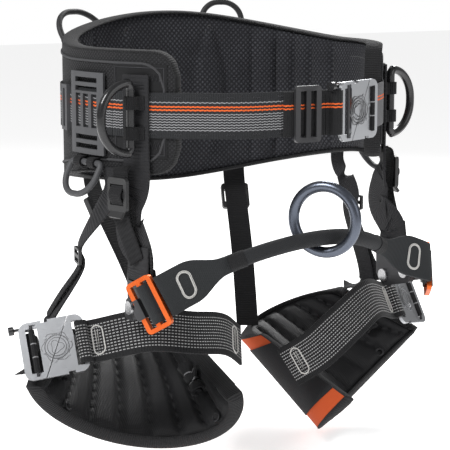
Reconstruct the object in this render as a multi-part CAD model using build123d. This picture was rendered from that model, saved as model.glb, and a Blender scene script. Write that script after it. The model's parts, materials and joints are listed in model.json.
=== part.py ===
from build123d import *
import math
import os

# All sizes are in millimetres. The frame stands at the middle of the waist opening, level with
# the waist webbing: +X is the wearer's left, -Y is the wearer's front and +Z is up. Pairs given
# as {1: ..., -1: ...} are for the wearer's left and right, where the two sides lie differently.

# ---- Waist belt ----------------------------------------------------------------------------------
WAIST_HALF_WIDTH = 162.0        # middle of the padding to the belt's centre, sideways
WAIST_BACK_DEPTH = 122.0        # the same at the back
WAIST_FRONT_DEPTH = 156.0       # the same at the front, where only webbing runs
BACK_SQUARENESS = 2.4           # exponents of the belt's rounded plan, behind and in front
FRONT_SQUARENESS = 2.1
BELT_STEP = 18.0                # length of each flat stretch that makes up the belt's curve
PAD_HALF_LENGTH = 354.0         # back centre to the end of the padding, along the belt
PAD_THICKNESS = 14.0
PAD_END_RADIUS = 24.0
PAD_TOP_BACK = 86.0             # top edge at the spine and at the hips
PAD_TOP_HIP = 57.0
PAD_TOP_FADE = 240.0            # belt distance over which the top edge falls
PAD_BOTTOM_BACK = -102.0        # bottom edge at the spine and at the hips
PAD_BOTTOM_HIP = -62.0
PAD_BOTTOM_FADE = 310.0
SHELL_THICKNESS = 2.0
BINDING_SIZE = 3.0
BINDING_PROUD = 1.0

# ---- Webbing -------------------------------------------------------------------------------------
WEB_WIDTH = 45.0
WEB_THICKNESS = 2.5
WEB_LEVEL = -4.0                # height of the waist webbing's middle line
WEB_JOIN = 288.0                # where the back webbing hands over to the front pieces
LAYER_GAP = 0.1                 # air between two layers that lie on each other
NARROW_WEB = 20.0
NARROW_THICKNESS = 2.0

# Offsets of the layers from the padding's middle, and the webbing's edges
SHELL_IN = PAD_THICKNESS / 2 + LAYER_GAP
SHELL_OUT = SHELL_IN + SHELL_THICKNESS
WEB_IN = SHELL_OUT + LAYER_GAP
WEB_OUT = WEB_IN + WEB_THICKNESS
OVER_IN = WEB_OUT + LAYER_GAP
OVER_OUT = OVER_IN + WEB_THICKNESS
WEB_LOW = WEB_LEVEL - WEB_WIDTH / 2
WEB_HIGH = WEB_LEVEL + WEB_WIDTH / 2

# ---- Hip plates and tool loops (distances from the back centre) ----------------------------------
PLATE_START = 227.0
PLATE_END = 279.0
PLATE_TOP = 35.0
PLATE_BOTTOM = -48.0
PLATE_THICKNESS = 3.0
PLATE_SLOT_HEIGHT = 5.0
PLATE_WINDOWS = 3
PLATE_RIB = 5.0
SLOT_LOOP_STATION = 211.0
SLOT_LOOP_LENGTH = 14.0
SLOT_LOOP_THICKNESS = 4.0
SLOT_LOOP_BAR = 4.0

# ---- Side D-rings --------------------------------------------------------------------------------
D_RING_HEIGHT = 78.0            # outside height
D_RING_REACH = 40.0             # middle of the straight bar to the outside of the bow
D_RING_ROD = 9.0
D_RING_RISE = -3.0              # middle of the ring above the webbing's middle line
D_RING_STATION = {1: 308.0, -1: 315.0}
D_RING_LEAN = {1: -44.0, -1: -22.0}       # degrees forward of square to the belt, as they lie
D_RING_STAND = 3.0              # room between the riser under it and the bar
D_RING_CLEARANCE = 0.5
KEEPER_LENGTH = 11.0
KEEPER_HEIGHT = 11.0
KEEPER_SPACING = 15.0
KEEPER_WALL = 2.0

# ---- Rear carrying rings and gear loops ----------------------------------------------------------
REAR_RING_STATION = {1: 78.0, -1: 88.0}
REAR_RING_WIDTH = {1: 54.0, -1: 74.0}
REAR_RING_REACH = 50.0
REAR_RING_ROD = 6.5
REAR_RING_LEVEL = 50.0
REAR_RING_TILT = {1: 12.0, -1: 36.0}    # degrees out from upright, as they lie
GEAR_LOOP_STATION = 255.0
GEAR_LOOP_WIDTH = 56.0
GEAR_LOOP_REACH = 38.0
GEAR_LOOP_ROD = 6.5
GEAR_LOOP_LEVEL = -56.0
GEAR_LOOP_TILT = 28.0           # degrees out from hanging straight down
LOOP_STAND = 3.0                # room between the shell and a loop's bar
TAB_SPACING = 11.0
TAB_LENGTH = 10.0
TAB_WALL = 1.6
HINGE_CLEARANCE = 0.3

# ---- Front webbing and its hardware (distances from the front centre) ----------------------------
ADJUSTER_FROM_CENTRE = -6.0
ADJUSTER_LENGTH = 30.0
ADJUSTER_HEIGHT = 56.0
ADJUSTER_PLATE = 4.0
TAIL_BACK = 30.0                # the doubled webbing starts this far to the wearer's right
BUCKLE_FROM_CENTRE = 56.0

# ---- Quick buckles -------------------------------------------------------------------------------
BUCKLE_LENGTH = 66.0
BUCKLE_WIDTH = 60.0
BUCKLE_PLATE = 3.5
BUCKLE_CORNER = 9.0
BUCKLE_STAND = 2.0              # room between the belt's webbing and the buckle over it
BUCKLE_SLIT = 0.8
BUCKLE_SLANT = 27.0
BUCKLE_MIDDLE = 3.0             # the slit and the ring pattern stand this far from the middle
BUCKLE_WINDOW = 12.0            # adjusting window and, at the other end, the sewn webbing's slot
BUCKLE_WINDOW_X = -20.0
BUCKLE_SLOT = 7.0
BUCKLE_SLOT_X = 24.5
BUCKLE_RING = 11.5
BUCKLE_STUD = 1.5
BUCKLE_STUDS = 6
CLAMP_ROD = 3.4
CLAMP_TRAVEL = 3.0
KNOB_RADIUS = 4.5
KNOB_LENGTH = 8.0
KNOB_ROD = 1.5
KNOB_Y = WEB_WIDTH / 2 + 3.6
KNOB_Z = -BUCKLE_PLATE / 2 - 2.6
WEB_END_GAP = 1.0               # between a webbing's end and the bar that it loops round

# ---- Hip links, bridge and ring ------------------------------------------------------------------
LINK_INSET = 6.0                # hip link inwards from the belt's widest point
LINK_X = WAIST_HALF_WIDTH - LINK_INSET
LINK_DROP = 186.0               # bridge pivot below the webbing level
LINK_FORWARD = 128.0
LINK_THICKNESS = 6.0
PIN_RADIUS = 4.0
PIN_CLEARANCE = 0.15
PIN_HEAD = 2.5
PIN_HEAD_RADIUS = 7.0
SIDE_GAP = 0.4                  # between a swinging piece and the plate beside it
EYE_RADIUS = 9.0
HANGER_WIDTH = 9.0
LEG_EYE_WIDTH = 4.0
FRAME_LENGTH = 54.0
FRAME_WIDTH = 30.0
FRAME_PLATE = 5.0
FRAME_BAR = 5.0
BRIDGE_RISE = 61.0              # middle of the bridge above its pivots
BRIDGE_REACH = 66.0             # and in front of them
SLEEVE_RADIUS = 8.0
SLEEVE_HALF = 88.0              # half the sleeve's span, side to side
SLEEVE_SET_BACK = 27.0          # the sleeve's ends lie this far behind its middle
SLEEVE_FALL = 20.0              # and this far below it
TAPE_WIDTH = 42.0
TAPE_THICKNESS = 5.0
TAPE_LEAD = 8.0                 # how far the tape runs straight out of the frame
TAPE_GAP = 1.0
RING_RADIUS = 33.0
RING_ROD = 5.5
RING_REST_GAP = 1.4
RING_TURN = 33.0                # degrees from square to the bridge

# ---- Straps below the belt -----------------------------------------------------------------------
RISER_STATION = 316.0
RISER_TOP = 35.0
RISER_TOP_WIDTH = 29.0
RISER_WAIST_WIDTH = 34.0
RISER_LOW_WIDTH = 42.0
RISER_FOOT_FORWARD = LINK_FORWARD - 26
RISER_FOOT_DROP = LINK_DROP - 26
LOCK_STATION = 304.0
LOCK_OFFSET = 26.0
LOCK_DROP = 83.0
LOCK_WIDTH = 27.0
LOCK_HEIGHT = 34.0
LOCK_PLATE = 4.0
LOCK_STANDOFF = LOCK_PLATE / 2 + NARROW_THICKNESS / 2 + 0.4
SIDE_RISER_STATION = {1: 210.0, -1: 285.0}
SLIDER_STATION = 234.0
SLIDER_OFFSET = 14.0
SLIDER_DROP = {1: 128.0, -1: 156.0}
SLIDER_PLATE = 3.0
SLIDER_HEIGHT = 17.0
SLIDER_STANDOFF = SLIDER_PLATE / 2 + NARROW_THICKNESS / 2 + 1.6
REAR_RISER_STATION = 90.0
REAR_RISER_WIDTH = 25.0
REAR_RISER_SHARE = 0.66         # how much of the way to the leg pad the rear riser runs
CLIP_DROP = 22.0
CLIP_LENGTH = 30.0
CLIP_THICKNESS = 6.0

# ---- Leg loops -----------------------------------------------------------------------------------
LEG_PAD_THICKNESS = 14.0
LEG_PIVOT_DROP = 196.0
LEG_PIVOT_FORWARD = 92.0
LEG_STATIONS = 12
# Inner end of each pad's rear and front edge and of its front strap, as they lie
LEG_REAR_INNER = {1: (-97, 92, -76), -1: (-107, 92, -66)}
LEG_FRONT_INNER = {1: (-76, -39, -120), -1: (-90, -39, -96)}
LEG_STRAP_INNER = {1: (-128, 2, -88), -1: (-124, 2, -56)}
LEG_SHELL_IN = LEG_PAD_THICKNESS / 2 + LAYER_GAP
LEG_SHELL_OUT = LEG_SHELL_IN + SHELL_THICKNESS
LEG_WEB_TILT = Vector(0.15, -0.45, -0.88)       # width direction of the thigh webbing
LEG_WEB_THICKNESS = 3.5
LEG_STRAP_LIFT = 0.08           # how far the outer strap stands off the curved shell, over its width
LEG_STRAP_GAP = 1.0             # between the front strap and the buckle over it
OUTER_STRAP_GAP = 1.4


def polar(angle):
    """Cosine and sine of an angle in degrees."""
    return math.cos(math.radians(angle)), math.sin(math.radians(angle))


# ---- The belt's plan -----------------------------------------------------------------------------
def half_belt():
    """Corners of the belt's middle line on the wearer's left, back centre to front centre."""
    count = 720
    curve = []
    for i in range(count + 1):
        c, s = polar(180 * i / count)
        depth = WAIST_BACK_DEPTH if c > 0 else WAIST_FRONT_DEPTH
        power = 2 / (BACK_SQUARENESS if c > 0 else FRONT_SQUARENESS)
        curve.append((WAIST_HALF_WIDTH * abs(s) ** power, depth * math.copysign(abs(c) ** power, c)))
    lengths = [0.0]
    for a, b in zip(curve, curve[1:]):
        lengths.append(lengths[-1] + math.dist(a, b))
    pieces = round(lengths[-1] / BELT_STEP)
    step = lengths[-1] / pieces
    corners = []
    k = 0
    for i in range(pieces + 1):
        target = min(i * step, lengths[-1])
        while k < count - 1 and lengths[k + 1] < target:
            k += 1
        t = (target - lengths[k]) / (lengths[k + 1] - lengths[k])
        corners.append(tuple(curve[k][j] + t * (curve[k + 1][j] - curve[k][j]) for j in (0, 1)))
    return corners, step


BELT, STEP = half_belt()
FRONT_CENTRE = STEP * (len(BELT) - 1)


def outward(a, b):
    """Unit normal, pointing out of the waist, of the stretch from a to b."""
    dx, dy = b[0] - a[0], b[1] - a[1]
    length = math.hypot(dx, dy)
    return Vector(-dy / length, dx / length, 0)


def mitre(i):
    """Offset direction at a corner, which keeps each offset stretch parallel to the belt."""
    before = BELT[i - 1] if i > 0 else (-BELT[1][0], BELT[1][1])
    after = BELT[i + 1] if i < len(BELT) - 1 else (-BELT[i - 1][0], BELT[i - 1][1])
    n1 = outward(before, BELT[i])
    n2 = outward(BELT[i], after)
    return (n1 + n2) * (1 / (1 + n1.dot(n2)))


MITRES = [mitre(i) for i in range(len(BELT))]


def belt_point(s, offset=0.0, z=0.0):
    """Point at distance s along the belt; negative s runs round the wearer's right."""
    side = 1 if s >= 0 else -1
    distance = abs(s)
    if distance > FRONT_CENTRE:
        distance = 2 * FRONT_CENTRE - distance
        side = -side
    i = min(int(distance / STEP), len(BELT) - 2)
    t = distance / STEP - i
    ends = []
    for k in (i, i + 1):
        ends.append(Vector(*BELT[k], 0) + MITRES[k] * offset)
    p = ends[0] * (1 - t) + ends[1] * t
    return Vector(side * p.X, p.Y, z)


def belt_frame(s, offset, z=0.0):
    """Plane on the belt: local x runs forward along the belt, local y up, local z out of the waist."""
    here = belt_point(s, offset, z)
    along = (belt_point(s + 1, offset) - belt_point(s - 1, offset)).normalized()
    out = (belt_point(s, offset + 1) - belt_point(s, offset))
    out = (out - along * out.dot(along)).normalized()
    x_dir = Vector(0, 0, 1).cross(out)
    return Plane(here, x_dir=x_dir, z_dir=out)


def quad_loft(sections):
    """Closed solid through four-cornered sections, with straight sides between them."""
    wires = [Wire.make_polygon(corners, close=True) for corners in sections]
    return Solid.make_loft(wires, ruled=True)


def belt_stops(start, end, extra=()):
    """Distances at which a band along the belt needs a section."""
    stops = {start, end, *extra}
    k = math.ceil(start / STEP)
    while k * STEP < end:
        if k * STEP - start > 0.5 and end - k * STEP > 0.5:
            stops.add(k * STEP)
        k += 1
    ordered = sorted(stops)
    kept = [ordered[0]]
    for s in ordered[1:]:
        if s - kept[-1] > 0.4:
            kept.append(s)
    return kept


def belt_band(start, end, inner, outer, low, high, extra=()):
    """Layer that lies round the belt, between two offsets and two heights."""
    sections = []
    for s in belt_stops(start, end, extra):
        z0 = low(s) if callable(low) else low
        z1 = high(s) if callable(high) else high
        corners = [(inner, z0), (outer, z0), (outer, z1), (inner, z1)]
        sections.append([belt_point(s, offset, z) for offset, z in corners])
    return quad_loft(sections)


def end_rounding(s):
    """How far the padding's rounded end pulls its edge in at distance s."""
    into = abs(s) - (PAD_HALF_LENGTH - PAD_END_RADIUS)
    if into <= 0:
        return 0.0
    return PAD_END_RADIUS - math.sqrt(max(PAD_END_RADIUS ** 2 - into ** 2, 0))


def pad_top(s):
    fade = 0.5 * (1 + math.cos(math.pi * min(abs(s) / PAD_TOP_FADE, 1)))
    return PAD_TOP_HIP + (PAD_TOP_BACK - PAD_TOP_HIP) * fade - end_rounding(s)


def pad_bottom(s):
    fade = 0.5 * (1 + math.cos(math.pi * min(abs(s) / PAD_BOTTOM_FADE, 1)))
    return PAD_BOTTOM_HIP + (PAD_BOTTOM_BACK - PAD_BOTTOM_HIP) * fade + end_rounding(s)


def end_stops():
    """Extra sections that make the padding's ends round."""
    stops = []
    for angle in (25, 50, 70, 90):
        reach = PAD_HALF_LENGTH - PAD_END_RADIUS + PAD_END_RADIUS * polar(angle)[1]
        stops += [reach, -reach]
    return stops


def pad_layer(inner, outer):
    """Layer with the padding's outline."""
    return belt_band(-PAD_HALF_LENGTH, PAD_HALF_LENGTH, inner, outer, pad_bottom, pad_top, end_stops())


def waist_binding():
    """Tape bound round the padding's edge, as four strips that meet at the ends."""
    inner, outer = -PAD_THICKNESS / 2 - BINDING_PROUD, SHELL_OUT
    stops = end_stops()
    strips = [
        belt_band(-PAD_HALF_LENGTH, PAD_HALF_LENGTH, inner, outer,
                  pad_top, lambda s: pad_top(s) + BINDING_SIZE, stops),
        belt_band(-PAD_HALF_LENGTH, PAD_HALF_LENGTH, inner, outer,
                  lambda s: pad_bottom(s) - BINDING_SIZE, pad_bottom, stops),
    ]
    for side in (1, -1):
        ends = sorted((side * PAD_HALF_LENGTH, side * (PAD_HALF_LENGTH + BINDING_SIZE)))
        low = pad_bottom(PAD_HALF_LENGTH) - BINDING_SIZE
        high = pad_top(PAD_HALF_LENGTH) + BINDING_SIZE
        strips.append(belt_band(*ends, inner, outer, low, high))
    return strips


# ---- General shapes ------------------------------------------------------------------------------
def strap(points, across, width, thickness):
    """Flat strap through the points; across is one width direction, or one for each point."""
    points = [Vector(p) for p in points]
    sections = []
    for i, p in enumerate(points):
        before = points[max(i - 1, 0)]
        after = points[min(i + 1, len(points) - 1)]
        along = (after - before).normalized()
        side = Vector(across[i] if isinstance(across, list) else across)
        side = (side - along * side.dot(along)).normalized()
        up = along.cross(side)
        half = (width[i] if isinstance(width, list) else width) / 2
        corners = [(-1, -1), (1, -1), (1, 1), (-1, 1)]
        sections.append([p + side * half * a + up * thickness / 2 * b for a, b in corners])
    return quad_loft(sections)


def rod_loop(points, radii, rod, plane):
    """Closed round bar whose middle line is a rounded polygon in the plane's x and y."""
    path = FilletPolyline(*[(x, y, 0) for x, y in points], radius=radii, close=True).wire()
    start = path @ 0
    direction = path % 0
    section = Plane(start, z_dir=direction) * Circle(rod / 2)
    return plane.location * sweep(section, path=path).solid()


def block(x, y, z, centre=(0, 0, 0)):
    return Pos(*centre) * Box(x, y, z)


def rounded_plate(length, height, thickness, radius):
    return extrude(RectangleRounded(length, height, radius), thickness / 2, both=True)


# ---- Hips ----------------------------------------------------------------------------------------
def hip_plate():
    """Moulded plate that spreads the load, with slots above and below a ribbed window."""
    plate = belt_band(PLATE_START, PLATE_END, OVER_IN, OVER_IN + PLATE_THICKNESS, PLATE_BOTTOM, PLATE_TOP)
    frame = belt_frame((PLATE_START + PLATE_END) / 2, OVER_IN)
    length = PLATE_END - PLATE_START
    cuts = []
    for level in (PLATE_TOP - 8, PLATE_TOP - 17, PLATE_BOTTOM + 8, PLATE_BOTTOM + 17):
        cuts.append(frame.location * block(length - 14, PLATE_SLOT_HEIGHT, 30, (0, level, 0)))
    pitch = (length - 2 * PLATE_RIB) / PLATE_WINDOWS
    for k in range(PLATE_WINDOWS):
        x = (k - (PLATE_WINDOWS - 1) / 2) * pitch
        cuts.append(frame.location * block(pitch - PLATE_RIB, WEB_WIDTH - 11, 30, (x, WEB_LEVEL, 0)))
    for cut in cuts:
        plate = plate - cut
    return plate.solid()


def slot_loop():
    """Small moulded loop over the webbing, for hanging tools."""
    half = SLOT_LOOP_LENGTH / 2
    loop = belt_band(SLOT_LOOP_STATION - half, SLOT_LOOP_STATION + half,
                     OVER_IN, OVER_IN + SLOT_LOOP_THICKNESS, WEB_LOW - 1, WEB_HIGH + 1)
    frame = belt_frame(SLOT_LOOP_STATION, OVER_IN)
    cut = frame.location * block(SLOT_LOOP_LENGTH - 2 * SLOT_LOOP_BAR, WEB_WIDTH - 6, 30, (0, WEB_LEVEL, 0))
    return (loop - cut).solid()


def d_ring_plane(side):
    """Hinge plane of a D-ring: origin on its straight bar, x along its reach, y up."""
    offset = OVER_OUT + D_RING_STAND + D_RING_ROD / 2
    frame = belt_frame(side * D_RING_STATION[side], offset, WEB_LEVEL + D_RING_RISE)
    lean = D_RING_LEAN[side]
    c, s = polar(lean)
    forward = frame.x_dir if frame.x_dir.Y < 0 else frame.x_dir * -1
    reach = (frame.z_dir * c + forward * s).normalized()
    return Plane(frame.origin, x_dir=reach, z_dir=reach.cross(Vector(0, 0, 1)))


def d_ring(side):
    half = (D_RING_HEIGHT - D_RING_ROD) / 2
    reach = D_RING_REACH - D_RING_ROD / 2
    points = [(0, 0), (0, -half), (reach, -half), (reach, half), (0, half)]
    bow = min(half, reach) * 0.96
    return rod_loop(points, [0, 6, bow, bow, 6], D_RING_ROD, d_ring_plane(side))


def d_ring_keepers():
    """Webbing sleeves that hold each D-ring's straight bar to the belt, top and bottom."""
    keepers = []
    bore = D_RING_ROD / 2 + D_RING_CLEARANCE
    low = OVER_OUT + 0.5
    high = OVER_OUT + D_RING_STAND + D_RING_ROD / 2 + bore + KEEPER_WALL
    for side in (1, -1):
        s = side * D_RING_STATION[side]
        hole = Plane(d_ring_plane(side).origin, z_dir=(0, 0, 1)).location * Cylinder(bore, 200)
        for level in (-KEEPER_SPACING, KEEPER_SPACING):
            frame = belt_frame(s, (low + high) / 2, WEB_LEVEL + D_RING_RISE + level)
            body = frame.location * block(KEEPER_LENGTH, KEEPER_HEIGHT, high - low)
            keepers.append((body - hole).solid())
    return keepers


def hip_riser():
    """Wide strap sewn over the waist webbing, down to the hip link."""
    top = belt_frame(RISER_STATION, OVER_IN + WEB_THICKNESS / 2)
    foot = Vector(LINK_X, -RISER_FOOT_FORWARD, -RISER_FOOT_DROP)
    edge = top.origin + Vector(0, 0, PAD_BOTTOM_HIP - 10)
    waist = edge + (foot - edge) * 0.55 + Vector(1, 18, 0)
    points = [
        top.origin + Vector(0, 0, RISER_TOP), top.origin + Vector(0, 0, WEB_LOW), edge,
        edge + (waist - edge) * 0.5 + Vector(1, 3, 0), waist, foot + Vector(0, 0, 18), foot,
    ]
    turned = Vector(-0.15, -1, 0)
    across = [top.x_dir, top.x_dir, top.x_dir, turned, turned, Vector(0, -1, 0), Vector(0, -1, 0)]
    width = [RISER_TOP_WIDTH] * 3 + [RISER_WAIST_WIDTH] + [RISER_LOW_WIDTH] * 3
    return strap(points, across, width, WEB_THICKNESS)


# ---- Straps below the belt -----------------------------------------------------------------------
def hip_point(forward, drop, x_shift=0.0):
    """Point by the hip link's plate, on the wearer's left."""
    return Vector(LINK_X + x_shift, -forward, -drop)


def lock_plane():
    """Plane of the ladder lock: x across, y up, z out."""
    centre = belt_point(LOCK_STATION, LOCK_OFFSET, -LOCK_DROP)
    out = Vector(1, -0.25, 0).normalized()
    return Plane(centre, x_dir=Vector(0, 0, 1).cross(out), z_dir=out)


def lock_strap():
    """Adjusting strap from the hip riser down behind the ladder lock to the hip link."""
    plane = lock_plane()
    behind = plane.origin - plane.z_dir * LOCK_STANDOFF
    reach = plane.y_dir * (LOCK_HEIGHT / 2 + 4)
    top = belt_point(LOCK_STATION, OVER_OUT + D_RING_STAND, PAD_BOTTOM_HIP + 6)
    foot = hip_point(LINK_FORWARD - 24, LINK_DROP - 38, LINK_THICKNESS)
    across = [plane.x_dir, plane.x_dir, plane.x_dir, Vector(0, -1, 0)]
    return strap([top, behind + reach, behind - reach, foot], across, NARROW_WEB + 1, NARROW_THICKNESS)


def ladder_lock():
    """Moulded ladder lock: two slots, three bars and a turned-out thumb tab."""
    body = rounded_plate(LOCK_WIDTH, LOCK_HEIGHT, LOCK_PLATE, 4)
    for level in (-LOCK_HEIGHT / 5, LOCK_HEIGHT / 5):
        body -= block(LOCK_WIDTH - 8, LOCK_HEIGHT / 4.5, 20, (0, level, 0))
    lip = rounded_plate(LOCK_WIDTH - 8, 9, 3, 1.4)
    tab = Pos(0, -LOCK_HEIGHT / 2 - 2, LOCK_PLATE / 2) * Rot(-35, 0, 0) * lip
    return (lock_plane().location * (body + tab)).solid()


def slider_plane(side):
    """Plane of a side riser's slider: x across, y up, z out."""
    centre = belt_point(SLIDER_STATION, SLIDER_OFFSET, -SLIDER_DROP[side])
    out = Vector(1, 0.3, 0).normalized()
    return Plane(centre, x_dir=Vector(0, 0, 1).cross(out), z_dir=out)


def side_riser(side):
    """Thin strap from the belt's lower edge at the side towards the back of the leg pad."""
    offset = SHELL_OUT + NARROW_THICKNESS / 2 + 0.8
    top = belt_frame(SIDE_RISER_STATION[side], offset, PAD_BOTTOM_HIP + 2)
    plane = slider_plane(side)
    behind = plane.origin - plane.z_dir * SLIDER_STANDOFF
    reach = plane.y_dir * SLIDER_HEIGHT * 0.8
    foot = leg_point(47, 98, -26)
    points = [top.origin, top.origin + Vector(0, 0, -26), behind + reach, behind - reach, foot]
    across = [top.x_dir, top.x_dir, plane.x_dir, plane.x_dir, plane.x_dir]
    return strap(points, across, NARROW_WEB, NARROW_THICKNESS)


def side_slider(side):
    """Small three-bar slider on the side riser."""
    body = rounded_plate(NARROW_WEB + 7, SLIDER_HEIGHT, SLIDER_PLATE, 2.5)
    for level in (-4, 4):
        body -= block(NARROW_WEB + 1, 4.2, 20, (0, level, 0))
    return (slider_plane(side).location * body).solid()


def rear_riser_line():
    """The rear riser's top on the belt, its edge below the padding and its target on the leg pad."""
    offset = SHELL_OUT + NARROW_THICKNESS / 2 + 1.5
    top = belt_frame(REAR_RISER_STATION, offset, pad_bottom(REAR_RISER_STATION) + 20)
    edge = top.origin + Vector(0, 0, -34)
    return top, edge, leg_point(-98, 128, -70)


def rear_riser():
    """Elastic strap from the back of the belt down towards the inner thigh."""
    top, edge, target = rear_riser_line()
    foot = edge + (target - edge) * REAR_RISER_SHARE
    return strap([top.origin, edge, foot], top.x_dir, REAR_RISER_WIDTH, NARROW_THICKNESS)


def rear_clip():
    """Side-release buckle on the rear riser, with its two finger recesses."""
    top, edge, target = rear_riser_line()
    down = (target - edge).normalized()
    across = (top.x_dir - down * top.x_dir.dot(down)).normalized()
    out = down.cross(across)
    out = out if out.Y > 0 else out * -1
    centre = edge + down * CLIP_DROP + out * (NARROW_THICKNESS / 2 + CLIP_THICKNESS / 2 + 0.3)
    body = rounded_plate(REAR_RISER_WIDTH + 7, CLIP_LENGTH, CLIP_THICKNESS, 3)
    for x in (-1, 1):
        body -= block(5, CLIP_LENGTH / 2, 20, (x * (REAR_RISER_WIDTH / 2 - 2), 0, 0))
    return (Plane(centre, x_dir=across, z_dir=out).location * body).solid()


# ---- Rings and loops that swing on a straight bar ------------------------------------------------
def bow_plane(s, offset, level, tilt, upward):
    """Plane of a carrying loop: origin on its bar, x along its reach, y along the bar."""
    frame = belt_frame(s, offset, level)
    c, sn = polar(tilt)
    reach = Vector(0, 0, c if upward else -c) + frame.z_dir * sn
    along = frame.x_dir
    return Plane(frame.origin, x_dir=reach, z_dir=reach.cross(along))


def bow(plane, width, reach, rod):
    """Closed loop with a straight bar along y and a rounded bow along x."""
    half = (width - rod) / 2
    far = reach - rod / 2
    points = [(0, 0), (0, -half), (far, -half), (far, half), (0, half)]
    corner = min(half, far) * 0.9
    return rod_loop(points, [0, 5, corner, corner, 5], rod, plane)


def bar_tabs(plane, s, rod):
    """Two webbing tabs that hold a loop's straight bar against the belt."""
    tabs = []
    bore = rod / 2 + HINGE_CLEARANCE
    for k in (-1, 1):
        centre = plane.origin + plane.y_dir * k * TAB_SPACING
        low = SHELL_OUT + 0.3
        high = SHELL_OUT + LOOP_STAND + rod / 2 + bore + TAB_WALL
        here = belt_frame(s, SHELL_OUT, plane.origin.Z)
        foot = centre - here.z_dir * (high - bore - TAB_WALL - low)
        body = Plane(foot, x_dir=here.x_dir, z_dir=here.z_dir).location * block(
            TAB_LENGTH, rod + 4, high - low, (0, 0, (high - low) / 2))
        hole = Plane(centre, z_dir=plane.y_dir).location * Cylinder(bore, 4 * TAB_LENGTH)
        tabs.append((body - hole).solid())
    return tabs


def rear_ring_plane(side):
    offset = SHELL_OUT + REAR_RING_ROD / 2 + LOOP_STAND
    return bow_plane(side * REAR_RING_STATION[side], offset, REAR_RING_LEVEL, REAR_RING_TILT[side], True)


def gear_loop_plane(side):
    offset = SHELL_OUT + GEAR_LOOP_ROD / 2 + LOOP_STAND
    return bow_plane(side * GEAR_LOOP_STATION, offset, GEAR_LOOP_LEVEL, GEAR_LOOP_TILT, False)


# ---- Front hardware ------------------------------------------------------------------------------
def left_front(from_centre):
    """Belt distance, counted round the wearer's right, of a point left of the front centre."""
    return -(FRONT_CENTRE + from_centre)


def front_adjuster():
    """Three-bar adjuster over the front webbing."""
    offset = OVER_OUT + LAYER_GAP + ADJUSTER_PLATE / 2 + 0.5
    frame = belt_frame(FRONT_CENTRE - ADJUSTER_FROM_CENTRE, offset, WEB_LEVEL)
    body = rounded_plate(ADJUSTER_LENGTH, ADJUSTER_HEIGHT, ADJUSTER_PLATE, 4)
    for x in (-ADJUSTER_LENGTH / 5, ADJUSTER_LENGTH / 5):
        body -= block(ADJUSTER_LENGTH / 4.5, WEB_WIDTH + 1, 20, (x, 0, 0))
    return (frame.location * body).solid()


def half_plate(sign):
    """One interlocking half of a quick buckle's plate; they meet at a slanting slit."""
    body = rounded_plate(BUCKLE_LENGTH, BUCKLE_WIDTH, BUCKLE_PLATE, BUCKLE_CORNER)
    window = WEB_WIDTH + 1.5
    body -= block(BUCKLE_WINDOW, window, 20, (BUCKLE_WINDOW_X, 0, 0))
    body -= block(BUCKLE_SLOT, window, 20, (BUCKLE_SLOT_X, 0, 0))
    for x, edge in ((-6, 1), (14, -1)):
        body -= block(7, 5, 20, (x, edge * BUCKLE_WIDTH / 2, 0))
    groove = extrude(Circle(BUCKLE_RING + 0.5) - Circle(BUCKLE_RING - 0.5), 2)
    body -= Pos(BUCKLE_MIDDLE, 0, BUCKLE_PLATE / 2 - 0.4) * groove
    far = 200
    half_space = block(far, far, 20, (sign * (far / 2 - BUCKLE_SLIT / 2), 0, 0))
    body -= Pos(BUCKLE_MIDDLE, 0, 0) * Rot(0, 0, -BUCKLE_SLANT) * half_space
    slant_c, slant_s = polar(BUCKLE_SLANT)
    for k in range(BUCKLE_STUDS):
        c, sn = polar(360 * (k + 0.25) / BUCKLE_STUDS)
        x, y = (BUCKLE_RING + 3.4) * c, (BUCKLE_RING + 3.4) * sn
        if (x * slant_c - y * slant_s) * sign < -BUCKLE_STUD - 1:
            body += Pos(BUCKLE_MIDDLE + x, y, BUCKLE_PLATE / 2) * Cylinder(BUCKLE_STUD, 1.2)
    return body


def buckle_frame():
    """Half with the adjusting window, the clamp bar's slots and the release knob's guide."""
    frame = half_plate(1)
    travel = CLAMP_ROD + CLAMP_TRAVEL
    slot_x = BUCKLE_WINDOW_X + CLAMP_TRAVEL / 2
    frame -= block(travel, WEB_WIDTH + 9, CLAMP_ROD, (slot_x, 0, BUCKLE_PLATE / 2))
    height = KNOB_ROD * 2 + 2.6
    guide = block(9, 6, height, (-BUCKLE_LENGTH / 2 + 9.2, KNOB_Y, -BUCKLE_PLATE / 2 - height / 2))
    bore = Pos(0, KNOB_Y, KNOB_Z) * Rot(0, 90, 0) * Cylinder(KNOB_ROD + HINGE_CLEARANCE, 200)
    return (frame + (guide - bore)).solid()


def buckle_plate():
    return half_plate(-1).solid()


def buckle_bar():
    """Loose bar that clamps the webbing against the window's edge."""
    bar = Rot(90, 0, 0) * Cylinder(CLAMP_ROD / 2 - HINGE_CLEARANCE, WEB_WIDTH + 8)
    return (Pos(BUCKLE_WINDOW_X, 0, BUCKLE_PLATE / 2) * bar).solid()


def buckle_knob():
    """Sprung release knob on its rod."""
    collar, end = 2.0, KNOB_LENGTH
    profile = [(0, -12), (KNOB_ROD, -12), (KNOB_ROD, collar),
               (KNOB_RADIUS, collar + 1), (KNOB_RADIUS, end), (0, end)]
    face = make_face(Polyline(*[(x, 0, z) for x, z in profile], close=True))
    knob = revolve(face, Axis.Z)
    return (Pos(-BUCKLE_LENGTH / 2 - 2, KNOB_Y, KNOB_Z) * Rot(0, -90, 0) * knob).solid()


def waist_buckle_plane():
    offset = OVER_OUT + BUCKLE_PLATE / 2 + BUCKLE_STAND
    return belt_frame(FRONT_CENTRE - BUCKLE_FROM_CENTRE, offset, WEB_LEVEL)


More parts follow.
